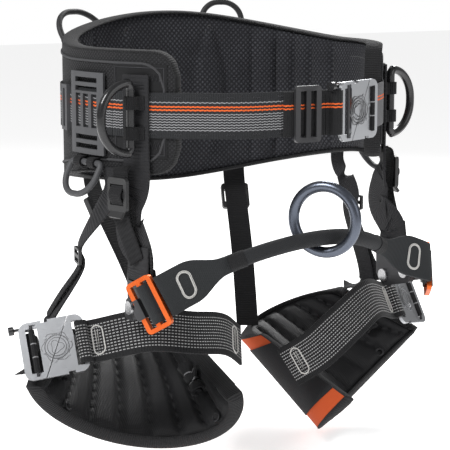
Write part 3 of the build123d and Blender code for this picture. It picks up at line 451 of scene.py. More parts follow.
class Skin:
    """A surface with a direction along it, t from 0 to 1, and across it, a from -1 to 1."""

    length: float = 1.0

    def at(self, t: float, a: float, lift: float = 0.0) -> Vector:
        """Point on the surface.

        Args:
            t: place along it.
            a: place across it.
            lift: distance off it, in metres.

        Returns:
            The point.
        """
        raise NotImplementedError

    def width(self, t: float) -> float:
        """The surface's width at t, in metres."""
        return (self.at(t, 1.0) - self.at(t, -1.0)).length

    def measure(self) -> None:
        """Work out the length along the middle line."""
        steps = 40
        line = [self.at(k / steps, 0.0) for k in range(steps + 1)]
        self.length = sum((b - a).length for a, b in zip(line, line[1:]))

    def spot(self, along: float, across: float, lift: float = 0.0) -> Vector:
        """Point given by distances in metres from the start and from the middle line."""
        t = along / self.length
        return self.at(t, 2 * across / self.width(t), lift)


@dataclass
class BeltPlan:
    """Rounded plan of the belt, seen from above, measured from the back centre."""

    half_width: float
    back_depth: float
    front_depth: float
    back_square: float = 2.4
    front_square: float = 2.1
    samples: int = 900
    table: list[tuple[float, Vector]] = field(default_factory=list)

    def __post_init__(self) -> None:
        """Sample the plan's left half."""
        total, last = 0.0, None
        for i in range(self.samples + 1):
            angle = math.pi * i / self.samples
            c, s = math.cos(angle), math.sin(angle)
            depth = self.back_depth if c > 0 else self.front_depth
            power = 2 / (self.back_square if c > 0 else self.front_square)
            point = Vector((self.half_width * abs(s) ** power, depth * math.copysign(abs(c) ** power, c), 0))
            total += (point - last).length if last is not None else 0.0
            self.table.append((total, point))
            last = point

    @property
    def front_centre(self) -> float:
        """Distance from the back centre to the front centre."""
        return self.table[-1][0]

    def flat(self, s: float) -> Vector:
        """Point of the plan at distance s, which may pass the front centre."""
        side = 1 if s >= 0 else -1
        distance = abs(s)
        if distance > self.front_centre:
            distance = 2 * self.front_centre - distance
            side = -side
        low, high = 0, len(self.table) - 1
        while high - low > 1:
            middle = (low + high) // 2
            if self.table[middle][0] <= distance:
                low = middle
            else:
                high = middle
        (d0, p0), (d1, p1) = self.table[low], self.table[high]
        p = p0.lerp(p1, (distance - d0) / (d1 - d0))
        return Vector((side * p.x, p.y, 0))

    def outward(self, s: float) -> Vector:
        """Unit vector out of the waist at distance s."""
        step = 3 * MM
        run = (self.flat(s + step) - self.flat(s - step)).normalized()
        left = Vector((-run.y, run.x, 0))
        return left if left.dot(self.flat(s)) > 0 else -left

    def point(self, s: float, offset: float, z: float) -> Vector:
        """Point beside the plan.

        Args:
            s: distance round the belt; negative runs round the wearer's right.
            offset: distance out of the waist.
            z: height.

        Returns:
            The point.
        """
        p = self.flat(s) + self.outward(s) * offset
        return Vector((p.x, p.y, z))


Height = Callable[[float], float]


@dataclass
class BeltSkin(Skin):
    """Stretch of the belt between two distances and two heights."""

    plan: BeltPlan
    start: float
    end: float
    low: Height
    high: Height
    offset: float

    def __post_init__(self) -> None:
        """Measure the stretch."""
        self.length = abs(self.end - self.start)

    def at(self, t: float, a: float, lift: float = 0.0) -> Vector:
        """Point on the belt."""
        s = self.start + (self.end - self.start) * t
        z = (self.low(s) + self.high(s)) / 2 + a * (self.high(s) - self.low(s)) / 2
        return self.plan.point(s, self.offset + lift, z)


@dataclass
class StrapSkin(Skin):
    """Strap through points, with a width direction and a width at each."""

    points: Sequence[Vector]
    across: Sequence[Vector]
    widths: Sequence[float]

    def __post_init__(self) -> None:
        """Measure the strap."""
        self.measure()

    def place(self, t: float) -> tuple[Vector, Vector, Vector]:
        """Middle point, width direction and normal at t."""
        step = 0.004
        p = eased(self.points, t)
        run = (eased(self.points, min(t + step, 1)) - eased(self.points, max(t - step, 0))).normalized()
        side = eased(self.across, t)
        side = (side - run * side.dot(run)).normalized()
        return p, side, run.cross(side)

    def at(self, t: float, a: float, lift: float = 0.0) -> Vector:
        """Point on the strap."""
        p, side, up = self.place(t)
        half = eased([Vector((w, 0, 0)) for w in self.widths], t).x / 2
        return p + side * half * a + up * lift


# ---- Making pieces -----------------------------------------------------------------------------------
def select_only(piece: bpy.types.Object) -> None:
    """Make a piece the only selected and active object.

    Args:
        piece: the piece.
    """
    bpy.ops.object.select_all(action="DESELECT")
    piece.select_set(True)
    bpy.context.view_layer.objects.active = piece


def in_edit_mode(piece: bpy.types.Object, *steps: Callable[[], object]) -> None:
    """Run mesh operators on all of a piece.

    Args:
        piece: the piece.
        steps: what to run, in order.
    """
    select_only(piece)
    bpy.ops.object.mode_set(mode="EDIT")
    bpy.ops.mesh.select_all(action="SELECT")
    for step in steps:
        step()
    bpy.ops.object.mode_set(mode="OBJECT")


def modify(piece: bpy.types.Object, kind: str, **settings: object) -> None:
    """Add a modifier and apply it.

    Args:
        piece: the piece.
        kind: the modifier's type.
        settings: its settings.
    """
    select_only(piece)
    modifier = piece.modifiers.new(kind.lower(), kind)
    for name, value in settings.items():
        setattr(modifier, name, value)
    bpy.ops.object.modifier_apply(modifier=modifier.name)


def grid(name: str, columns: int, rows: int) -> bpy.types.Object:
    """Add a flat grid to be shaped.

    Args:
        name: the piece's name.
        columns: faces along it.
        rows: faces across it.

    Returns:
        The grid.
    """
    bpy.ops.object.select_all(action="DESELECT")
    bpy.ops.mesh.primitive_grid_add(x_subdivisions=columns, y_subdivisions=rows, size=2)
    piece = bpy.context.object
    piece.name = piece.data.name = name
    return piece


def wrap(piece: bpy.types.Object, place: Callable[[float, float], Vector],
         chart: Callable[[float, float], tuple[float, float]]) -> None:
    """Lay a grid over a surface and give it a UV map in metres.

    Args:
        piece: a grid from -1 to 1 both ways.
        place: the point for each spot of the grid.
        chart: the UV for each spot of the grid.
    """
    mesh = piece.data
    spots = [((v.co.x + 1) / 2, v.co.y) for v in mesh.vertices]
    for loop, uv in zip(mesh.loops, mesh.uv_layers[0].data):
        uv.uv = chart(*spots[loop.vertex_index])
    for vertex, spot in zip(mesh.vertices, spots):
        vertex.co = place(*spot)


def outwards(piece: bpy.types.Object) -> None:
    """Join doubles and turn a closed piece's faces out.

    Args:
        piece: the piece.
    """
    in_edit_mode(piece, lambda: bpy.ops.mesh.remove_doubles(threshold=1e-6),
                 lambda: bpy.ops.mesh.normals_make_consistent(inside=False))


def smooth(piece: bpy.types.Object, angle: float = 50.0) -> None:
    """Shade a piece smooth except at sharp edges.

    Args:
        piece: the piece.
        angle: the sharpest edge that is shaded smooth, in degrees.
    """
    select_only(piece)
    bpy.ops.object.shade_smooth_by_angle(angle=math.radians(angle))


def dress(piece: bpy.types.Object, finish: Finish, body: str) -> bpy.types.Object:
    """Give a piece its finish and the body that it rides on.

    Args:
        piece: the piece.
        finish: its finish.
        body: the body that carries it; empty where it rides on no body.

    Returns:
        The piece.
    """
    piece.data.materials.clear()
    piece.data.materials.append(finish.material())
    if body:
        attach(piece, body)
    LOG.info("made %s: %d faces", piece.name, len(piece.data.polygons))
    return piece


def flat_piece(name: str, skin: Skin, thickness: float, step: float = 4 * MM, rows: int = 6,
               crown: float = 0.0, rounding: float = 0.6 * MM) -> bpy.types.Object:
    """Strap, tape or sheet of even thickness on a surface.

    Args:
        name: the piece's name.
        skin: the surface of its middle.
        thickness: its thickness.
        step: length of a face.
        rows: faces across it.
        crown: how far its middle stands off its edges.
        rounding: radius of its long edges.

    Returns:
        The piece.
    """
    columns = max(int(skin.length / step), 2)
    piece = grid(name, columns, rows)
    wrap(piece, lambda t, a: skin.at(t, a, crown * (1 - a * a)),
         lambda t, a: (t * skin.length, a * skin.width(t) / 2))
    modify(piece, "SOLIDIFY", thickness=thickness, offset=0.0, use_even_offset=True)
    if rounding:
        modify(piece, "BEVEL", width=min(rounding, thickness * 0.45), segments=2, limit_method="ANGLE",
               angle_limit=math.radians(60))
    in_edit_mode(piece, lambda: bpy.ops.mesh.normals_make_consistent(inside=False))
    smooth(piece)
    return piece


def no_relief(t: float, a: float, face: int) -> float:
    """A stuffed piece with no channels."""
    return 0.0


def stuffed_piece(name: str, skin: Skin, thickness: float, step: float = 4 * MM, rows: int = 22,
                  relief: Lift = no_relief, end_round: float = 10 * MM) -> bpy.types.Object:
    """Closed padded form on a surface, rounded at its edges and ends.

    Args:
        name: the piece's name.
        skin: the surface of its middle.
        thickness: its thickness in the middle.
        step: length of a face.
        rows: faces across one side.
        relief: extra height at (t, a, face), where face is 1 on top and -1 below.
        end_round: distance over which its ends thin.

    Returns:
        The piece.
    """
    columns = max(int(skin.length / step), 8)
    around = 2 * rows

    def spot(t: float, b: float) -> tuple[float, int]:
        k = round((b + 1) / 2 * around)
        if k <= rows:
            return -1 + 2 * k / rows, -1
        return 1 - 2 * (k - rows) / rows, 1

    def place(t: float, b: float) -> Vector:
        a, face = spot(t, b)
        inset = min(t, 1 - t) * skin.length
        end = math.sqrt(max(1 - (1 - min(inset / end_round, 1)) ** 2, 0.0))
        plump = (1 - abs(a) ** 9) ** 0.5 * end
        return skin.at(t, a, face * plump * (thickness / 2 + relief(t, a, face)))

    def chart(t: float, b: float) -> tuple[float, float]:
        return t * skin.length, spot(t, b)[0] * skin.width(t) / 2

    piece = grid(name, columns, around)
    wrap(piece, place, chart)
    outwards(piece)
    smooth(piece, 75.0)
    return piece


def puff(piece: bpy.types.Object, pressure: float, cap: float, frames: int = 16) -> None:
    """Fill a padded piece with Blender's cloth, within a cap, and apply the result.

    Args:
        piece: a closed padded piece.
        pressure: the filling's pressure.
        cap: the furthest that a point may move, in metres.
        frames: how many frames to run.
    """
    rest = [v.co.copy() for v in piece.data.vertices]
    select_only(piece)
    cloth = piece.modifiers.new("filling", "CLOTH")
    cloth.settings.quality = 4
    cloth.settings.use_pressure = True
    cloth.settings.uniform_pressure_force = pressure
    cloth.settings.tension_stiffness = 30
    cloth.settings.compression_stiffness = 30
    cloth.settings.bending_stiffness = 8
    cloth.settings.effector_weights.gravity = 0.0
    cloth.collision_settings.use_collision = False
    cloth.point_cache.frame_start = 1
    cloth.point_cache.frame_end = frames
    for frame_number in range(1, frames + 1):
        bpy.context.scene.frame_set(frame_number)
    settled = piece.evaluated_get(bpy.context.evaluated_depsgraph_get()).to_mesh()
    moved = [v.co.copy() for v in settled.vertices]
    piece.modifiers.remove(cloth)
    bpy.context.scene.frame_set(1)
    for vertex, before, after in zip(piece.data.vertices, rest, moved):
        step = after - before
        vertex.co = before + step * min(1.0, cap / max(step.length, 1e-9))


def tube(name: str, line: Sequence[Vector], radius: float, closed: bool = False,
         sides: int = 8, flatten: float = 1.0, flat_to: Sequence[Vector] = ()) -> bpy.types.Object:
    """Round or flattened bar of cloth, thread or rubber along a line.

    Args:
        name: the piece's name.
        line: points along its middle.
        radius: its radius, or half its width where it is flattened.
        closed: whether it joins up with itself.
        sides: faces round it.
        flatten: thickness over width.
        flat_to: for each point, the direction in which it is thin.

    Returns:
        The piece.
    """
    count = len(line)
    lengths = [0.0]
    for a, b in zip(line, line[1:]):
        lengths.append(lengths[-1] + (b - a).length)
    turns: list[tuple[Vector, Vector]] = []
    guide = Vector((0.13, 0.21, 0.97))
    for i, p in enumerate(line):
        before = line[i - 1] if i > 0 or closed else p
        after = line[(i + 1) % count] if i < count - 1 or closed else p
        run = (after - before).normalized()
        up = Vector(flat_to[i]) if flat_to else guide
        up = (up - run * up.dot(run)).normalized()
        guide = up
        turns.append((run.cross(up), up))
    columns = count if closed else count - 1
    piece = grid(name, columns, sides)

    def place(t: float, b: float) -> Vector:
        k = round(t * columns)
        angle = math.pi * b
        wide, up = turns[k % count]
        return line[k % count] + wide * radius * math.cos(angle) + up * radius * flatten * math.sin(angle)

    def chart(t: float, b: float) -> tuple[float, float]:
        k = round(t * columns)
        return (lengths[k] if k < count else lengths[-1]), b * radius * math.pi

    wrap(piece, place, chart)
    in_edit_mode(piece, lambda: bpy.ops.mesh.remove_doubles(threshold=1e-6))
    if not closed:
        in_edit_mode(piece, lambda: bpy.ops.mesh.select_all(action="DESELECT"),
                     lambda: bpy.ops.mesh.select_non_manifold(),
                     lambda: bpy.ops.mesh.fill_holes(sides=0))
    outwards(piece)
    smooth(piece, 60.0)
    return piece


def joined(name: str, parts: Iterable[bpy.types.Object]) -> bpy.types.Object:
    """Join pieces into one mesh.

    Args:
        name: the joined piece's name.
        parts: the pieces.

    Returns:
        The joined piece.
    """
    parts = list(parts)
    bpy.ops.object.select_all(action="DESELECT")
    for part in parts:
        part.select_set(True)
    bpy.context.view_layer.objects.active = parts[0]
    if len(parts) > 1:
        bpy.ops.object.join()
    parts[0].name = parts[0].data.name = name
    return parts[0]


def thread(name: str, skin: Skin, spots: Sequence[tuple[float, float]], lift: float,
           closed: bool = False, radius: float = 0.55 * MM) -> bpy.types.Object:
    """Line of stitching on a surface, through spots given in metres along and across.

    Args:
        name: the piece's name.
        skin: the surface.
        spots: where the line goes.
        lift: how far it stands off the surface.
        closed: whether it joins up with itself.
        radius: the thread's radius.

    Returns:
        The thread.
    """
    return tube(name, [skin.spot(x, y, lift) for x, y in spots], radius, closed, sides=5)


def oval(centre: tuple[float, float], length: float, width: float,
         count: int = 40) -> list[tuple[float, float]]:
    """Spots round a slot-shaped line of stitching.

    Args:
        centre: its middle, along and across.
        length: its size along the strap.
        width: its size across the strap.
        count: how many spots it has.

    Returns:
        The spots.
    """
    spots = []
    for k in range(count):
        c, s = math.cos(2 * math.pi * k / count), math.sin(2 * math.pi * k / count)
        if width >= length:
            straight = (width - length) / 2
            across = s * length / 2 + math.copysign(straight, s)
            spots.append((centre[0] + c * length / 2, centre[1] + across))
        else:
            straight = (length - width) / 2
            spots.append((centre[0] + c * width / 2 + math.copysign(straight, c), centre[1] + s * width / 2))
    return spots


def bar_tack(name: str, skin: Skin, centre: tuple[float, float], size: tuple[float, float], lift: float,
             turns: int = 9, radius: float = 0.5 * MM) -> bpy.types.Object:
    """Block of zigzag stitching.

    Args:
        name: the piece's name.
        skin: the surface.
        centre: its middle, along and across.
        size: its size along and across.
        lift: how far it stands off the surface.
        turns: how many times it goes across.
        radius: the thread's radius.

    Returns:
        The stitching.
    """
    spots = []
    for k in range(turns):
        along = centre[0] + size[0] * (k / (turns - 1) - 0.5)
        spots.append((along, centre[1] + size[1] * (0.5 if k % 2 else -0.5)))
    return thread(name, skin, spots, lift, radius=radius)


# ---- Where things are --------------------------------------------------------------------------------
PAD_LOW, PAD_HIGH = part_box("waist_pad")
WEB_LOW, WEB_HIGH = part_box("back_webbing")
PAD_THICKNESS = 14 * MM
PAD_REACH = 354 * MM
PLAN = BeltPlan(PAD_HIGH.x - PAD_THICKNESS / 2, PAD_HIGH.y - PAD_THICKNESS / 2,
                -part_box("front_webbing")[0].y - 11 * MM)
SHELL_LIE = 8.1 * MM            # middle of each layer, out from the middle of the padding
WEB_LIE = 10.5 * MM
OVER_LIE = 13.1 * MM
BUCKLE_LIE = 18.1 * MM
WEB_THICK = 2.3 * MM
WAIST_BUCKLE = 427.8            # belt distance of the waist buckle's middle, in millimetres


def at(side: Side, x: float, y: float, z: float) -> Vector:
    """Point in millimetres, mirrored to its side.

    Args:
        side: the wearer's side.
        x: distance out from the middle plane.
        y: distance back.
        z: height.

    Returns:
        The point, in metres.
    """
    return Vector((side.value * x, y, z)) * MM


def leg_at(side: Side, x: float, y: float, z: float) -> Vector:
    """Point in millimetres from the leg pivot, out, back and up.

    Args:
        side: the wearer's side.
        x: distance out.
        y: distance back.
        z: distance up.

    Returns:
        The point, in metres.
    """
    return Vector((side.value * (156 + x), -92 + y, -196 + z)) * MM


def pad_high(s: float) -> float:
    """Top edge of the padding at belt distance s."""
    return edge_height(s, PAD_HIGH.z, 57 * MM, 240 * MM) - end_inset(s)


def pad_low(s: float) -> float:
    """Bottom edge of the padding at belt distance s."""
    return edge_height(s, PAD_LOW.z, -62 * MM, 310 * MM) + end_inset(s)


def edge_height(s: float, back: float, hip: float, fade: float) -> float:
    """Height that eases from the back's to the hip's.

    Args:
        s: belt distance.
        back: height at the spine.
        hip: height at the hips.
        fade: distance over which it changes.

    Returns:
        The height.
    """
    share = 0.5 * (1 + math.cos(math.pi * min(abs(s) / fade, 1)))
    return hip + (back - hip) * share


def end_inset(s: float, radius: float = 24 * MM) -> float:
    """How far the padding's rounded ends pull its edges in.

    Args:
        s: belt distance.
        radius: radius of the corners.

    Returns:
        The inset.
    """
    into = abs(s) - (PAD_REACH - radius)
    return radius - math.sqrt(max(radius ** 2 - into ** 2, 0.0)) if into > 0 else 0.0


# ---- Waist belt --------------------------------------------------------------------------------------
@dataclass
class WaistPad:
    """Padding of the belt with its shell, edge tape, channels and piping."""

    channels: tuple[float, ...] = (108, 137, 160, 184, 218)
    channel_half: float = 2.6
    channel_depth: float = 3.6
    swell: float = 2.6
    inset: float = 11.0
    leaf_place: float = 55.0
    leaf_half: float = 19.0
    panel: tuple[float, float] = (240.0, 322.0)

    def leaf_width(self, a: float) -> float:
        """Half width of the leaf-shaped cushion at height a, in millimetres."""
        return self.leaf_half * max(1 - (abs(a - 0.08) / 0.80) ** 1.8, 0.0)

    def relief(self, t: float, a: float, face: int) -> float:
        """Cushions and the channels between them on the wearer's side of the padding."""
        if face > 0:
            return 0.0
        s = abs((t * 2 - 1) * PAD_REACH) / MM
        height = 0.0
        fade = max(1 - abs(a) ** 8, 0.0)
        for place in self.channels:
            height -= self.channel_depth * math.exp(-((s - place) / self.channel_half) ** 2)
        for low, high in zip(self.channels, self.channels[1:]):
            if low < s < high:
                height += self.swell * math.sin(math.pi * (s - low) / (high - low))
        width = self.leaf_width(a)
        away = abs(s - self.leaf_place)
        if width > 1 and away < width:
            height += 1.6 * self.swell * math.sqrt(1 - (away / width) ** 2)
        return height * fade * MM

    def on_inner_face(self, s: float, a: float) -> Vector:
        """Point on the padding's inner face.

        Args:
            s: belt distance, in millimetres.
            a: place across the padding.

        Returns:
            The point.
        """
        t = (s * MM / PAD_REACH + 1) / 2
        return self.skin().at(t, a, -(PAD_THICKNESS / 2 + self.relief(t, a, -1) - 0.2 * MM))

    def seams(self, side: Side) -> list[bpy.types.Object]:
        """Seams round the leaf and the front panel on one side of the inner face."""
        sign = side.value
        leaf = []
        for k in range(60):
            a = 0.08 + 0.79 * math.cos(2 * math.pi * k / 60)
            turn = 1 if k < 30 else -1
            leaf.append(self.on_inner_face(sign * (self.leaf_place + turn * (self.leaf_width(a) + 0.8)), a))
        low, high = self.panel
        ring = [(low, -0.7), (low, 0.0), (low, 0.7), ((low + high) / 2, 0.72), (high, 0.7), (high, 0.0),
                (high, -0.7), ((low + high) / 2, -0.72)]
        line = []
        for (s0, a0), (s1, a1) in zip(ring, ring[1:] + ring[:1]):
            shares = [k / 8 for k in range(8)]
            line += [self.on_inner_face(sign * (s0 + (s1 - s0) * u), a0 + (a1 - a0) * u) for u in shares]
        return [tube("seam", leaf, 0.8 * MM, True, 6), tube("seam", line, 1.0 * MM, True, 6)]

    def skin(self) -> BeltSkin:
        """The padding's middle surface."""
        return BeltSkin(PLAN, -PAD_REACH, PAD_REACH, pad_low, pad_high, 0.0)

    def shell_skin(self, shrink: float = 0.0) -> BeltSkin:
        """The outer cloth's surface, drawn in from the edge."""
        return BeltSkin(PLAN, -PAD_REACH + shrink, PAD_REACH - shrink,
                        lambda s: pad_low(s) + shrink, lambda s: pad_high(s) - shrink, SHELL_LIE)

    def build(self) -> None:
        """Make the pieces."""
        pad = stuffed_piece("padding", self.skin(), PAD_THICKNESS, 3 * MM, 44, self.relief, 6 * MM)
        puff(pad, 1.2, 2.2 * MM)
        dress(pad, PAD_MESH, "root")
        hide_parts("waist_pad")

        shell = flat_piece("outer_cloth", self.shell_skin(0.5 * MM), 1.8 * MM, 4 * MM, 24, rounding=0.0)
        dress(shell, SHELL_MESH, "root")
        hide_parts("waist_shell")

        edge = tube("edge_tape", self.rim(), 8.9 * MM, True, 16, 0.24, self.rim_normals())
        dress(edge, EDGE_TAPE, "root")
        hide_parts("waist_binding")
        seams = [seam for side in Side for seam in self.seams(side)]
        dress(joined("panel_piping", seams), PIPING, "root")
        inset = self.inset * MM
        piping = tube("shell_piping", self.rim(inset, SHELL_LIE + 1.2 * MM), 1.4 * MM, True)
        dress(piping, PIPING, "root")

    def rim(self, inset: float = 0.0, offset: float = 0.9 * MM) -> list[Vector]:
        """Points round the padding's outline, drawn in by an inset."""
        reach = PAD_REACH - inset
        count = 150
        top = [(-reach + 2 * reach * k / count) for k in range(count + 1)]
        line = [PLAN.point(s, offset, pad_high(s * PAD_REACH / reach) - inset) for s in top]
        line += [PLAN.point(s, offset, pad_low(s * PAD_REACH / reach) + inset) for s in reversed(top)]
        ends = 8
        full: list[Vector] = []
        for part, s in ((line[:count + 1], reach), (line[count + 1:], -reach)):
            full += part
            high, low = part[-1], (line[count + 1] if s > 0 else line[0])
            full += [high.lerp(low, k / ends) for k in range(1, ends)]
        return full

    def rim_normals(self) -> list[Vector]:
        """For each point of the outline, the direction away from the padding."""
        line = self.rim()
        normals = []
        for i, p in enumerate(line):
            run = (line[(i + 1) % len(line)] - line[i - 1]).normalized()
            here = Vector((p.x, p.y, 0)).normalized()
            normals.append(run.cross(here).normalized())
        return normals


@dataclass
class BeltWebbing:
    """Webbing round the belt, with its loops through the buckle and its stitching."""

    low: float = WEB_LOW.z
    high: float = WEB_HIGH.z

    def band(self, name: str, start: float, end: float, lie: float, finish: Finish, thick: float = WEB_THICK,
             sag: float = 0.0) -> tuple[bpy.types.Object, BeltSkin]:
        """One stretch of the webbing.

        Args:
            name: the piece's name.
            start: belt distance of its start, in millimetres.
            end: belt distance of its end, in millimetres.
            lie: its distance out from the padding's middle.
            finish: its finish.
            thick: its thickness.
            sag: how far it waves up and down.

        Returns:
            The piece and its surface.
        """
        def wander(s: float) -> float:
            return sag * math.sin(s / MM / 23.0) * math.sin(s / MM / 61.0)

        skin = BeltSkin(PLAN, start * MM, end * MM, lambda s: self.low + wander(s),
                        lambda s: self.high + wander(s), lie)
        piece = flat_piece(name, skin, thick, 4 * MM, 8)
        return dress(piece, finish, "root"), skin

    def around_bar(self, name: str, centre: float, spots: Sequence[tuple[float, float]], body: str,
                   finish: Finish) -> bpy.types.Object:
        """Webbing that turns round a bar of the waist buckle.

        Args:
            name: the piece's name.
            centre: belt distance of the buckle's middle, in millimetres.
            spots: its path, as distance towards the slot end and distance out, in millimetres.
            body: the body that carries it.
            finish: its finish.

        Returns:
            The piece.
        """
        points = [PLAN.point((centre + x) * MM, out * MM, (self.low + self.high) / 2) for x, out in spots]
        skin = StrapSkin(points, [Vector((0, 0, 1))] * len(points), [44.6 * MM] * len(points))
        piece = flat_piece(name, skin, 1.4 * MM, 1.5 * MM, 8, rounding=0.4 * MM)
        return dress(piece, finish, body)

    def build(self) -> None:
        """Make the pieces."""
        back, _ = self.band("webbing_back", -288, 288, WEB_LIE, BELT_WEB)
        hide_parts("back_webbing")
        front, front_skin = self.band("webbing_front", -514.5, -288.2, WEB_LIE, BELT_WEB, sag=0.5 * MM)
        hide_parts("front_webbing")
        tail, _ = self.band("webbing_tail", -514.5, -454.5, OVER_LIE, TAIL_WEB)
        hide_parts("front_webbing_tail")
        stub, stub_skin = self.band("webbing_stub", 288.2, 406.5, WEB_LIE, STUB_WEB)
        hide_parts("belt_stub")
        slot_turn = [(26.5, 12.0), (25.2, 15.6), (25.2, 19.5), (27.4, 22.2), (31.0, 22.4), (34.6, 20.2),
                     (35.6, 16.5), (36.8, 14.6), (41, 14.4)]
        self.around_bar("slot_turn", WAIST_BUCKLE, slot_turn, "root", TAIL_WEB)
        bar_turn = [(-22.0, 11.9), (-22.2, 16.0), (-22.2, 20.2), (-20.0, 22.1), (-17.8, 20.2),
                    (-17.8, 16.0), (-18.0, 12.4)]
        self.around_bar("bar_turn", WAIST_BUCKLE, bar_turn, "waist_buckle_bar", BUCKLE_WEB)
        half = (self.high - self.low) / 2
        stitches = [
            bar_tack("tack", stub_skin, (100 * MM, k * half * 0.62), (13 * MM, 8 * MM), 1.3 * MM)
            for k in (-1, 1)]
        dress(joined("stub_tacks", stitches), ORANGE_THREAD, "root")
        rows = []
        for k in range(9):
            for across in (-0.8, 0.8):
                spot = (14 * MM + k * 24 * MM, across * half)
                rows.append(bar_tack("tack", front_skin, spot, (7 * MM, 1.6 * MM), 1.25 * MM, 7, 0.35 * MM))
        dress(joined("edge_tacks", rows), DARK_THREAD, "root")


@dataclass
class HipPatch:
    """Cloth patch sewn over the belt at one hip, with its stitching."""

    side: Side
    start: float = 288.0
    end: float = 346.0
    low: float = -47.0
    high: float = 45.0

    def build(self) -> None:
        """Make the pieces."""
        sign = self.side.value
        skin = BeltSkin(PLAN, sign * self.start * MM, sign * self.end * MM, lambda s: self.low * MM,
                        lambda s: self.high * MM, SHELL_LIE + 1.3 * MM)
        patch = flat_piece(f"hip_patch_{self.side.word}", skin, 0.9 * MM, 5 * MM, 16, rounding=0.3 * MM)
        dress(patch, PATCH_CLOTH, "root")
        reach, tall = (self.end - self.start) / 2 * MM, (self.high - self.low) / 2 * MM
        corners = ((-1, -1), (-1, 0), (-1, 1), (0, 1), (1, 1), (1, 0), (1, -1), (0, -1), (-1, -1))
        margin = 3 * MM
        outline = [(reach + x * (reach - margin), y * (tall - margin)) for x, y in corners]
        stitches = [thread("edge", skin, outline, 0.8 * MM)]
        for y in (-0.72, 0.72):
            stitches.append(bar_tack("tack", skin, (reach * 1.5, y * tall), (16 * MM, 7 * MM), 0.9 * MM))
        dress(joined(f"patch_stitching_{self.side.word}", stitches), DARK_THREAD, "root")


# ---- Rings held by webbing ---------------------------------------------------------------------------
@dataclass
class Keeper:
    """Webbing sleeve round a hinge bar, sewn to the belt at both its ends."""

    name: str
    pivot: Vector
    bar: Vector
    out: Vector
    rod: float
    stand: float
    width: float
    thick: float = 1.7 * MM
    flare: float = 1.9

    def build(self) -> bpy.types.Object:
        """Make the sleeve and return it, undressed."""
        run = self.bar.cross(self.out).normalized()
        round_it = self.rod / 2 + 0.6 * MM + self.thick / 2
        points = [self.pivot + run * round_it * self.flare - self.out * self.stand,
                  self.pivot + run * round_it * 1.15 - self.out * self.stand * 0.8]
        for k in range(9):
            angle = math.radians(-20 + 220 * k / 8)
            turned = run * math.cos(angle) + self.out * math.sin(angle)
            points.append(self.pivot + turned * round_it)
        points += [self.pivot - run * round_it * 1.15 - self.out * self.stand * 0.8,
                   self.pivot - run * round_it * self.flare - self.out * self.stand]
        skin = StrapSkin(points, [self.bar] * len(points), [self.width] * len(points))
        return flat_piece(self.name, skin, self.thick, 1.2 * MM, 3, rounding=0.4 * MM)


@dataclass
class RingKeepers:
    """All the sleeves that hold the D-rings, the rear rings and the gear loops."""

    def sleeves(self, prefix: str, spacing: float, width: float, rod: float,
                stand: float) -> list[bpy.types.Object]:
        """Two sleeves for each ring of a kind.

        Args:
            prefix: start of the joints' names.
            spacing: distance of each sleeve from the middle of the bar.
            width: each sleeve's width.
            rod: the bar's diameter.
            stand: distance from the bar's middle to the cloth behind it.

        Returns:
            The sleeves.
        """
        made = []
        for name, joint in JOINTS.items():
            if not name.startswith(prefix):
                continue
            pivot, bar = Vector(joint["pos_m"]), Vector(joint["axis"]).normalized()
            out = Vector((pivot.x, pivot.y, 0))
            stops = [PLAN.flat(s * 2 * MM) for s in range(-240, 241)]
            nearest = min(stops, key=lambda p: (p - out).length)
            out = (out - nearest).normalized()
            out = (out - bar * out.dot(bar)).normalized()
            for k in (-1, 1):
                made.append(Keeper("sleeve", pivot + bar * spacing * k, bar, out, rod, stand, width).build())
        return made

    def build(self) -> None:
        """Make the pieces."""
        kinds = (("d_ring_", "d_ring_keepers", 15.0, 13.0, 9.0, 7.2),
                 ("rear_ring_", "rear_ring_tabs", 11.0, 11.0, 6.5, 6.2),
                 ("gear_loop_", "gear_loop_tabs", 11.0, 11.0, 6.5, 6.2))
        for prefix, node, spacing, width, rod, stand in kinds:
            parts = self.sleeves(prefix, spacing * MM, width * MM, rod * MM, stand * MM)
            piece = dress(joined(f"{node}_webbing", parts), BLACK_WEB, "root")
            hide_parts(node)


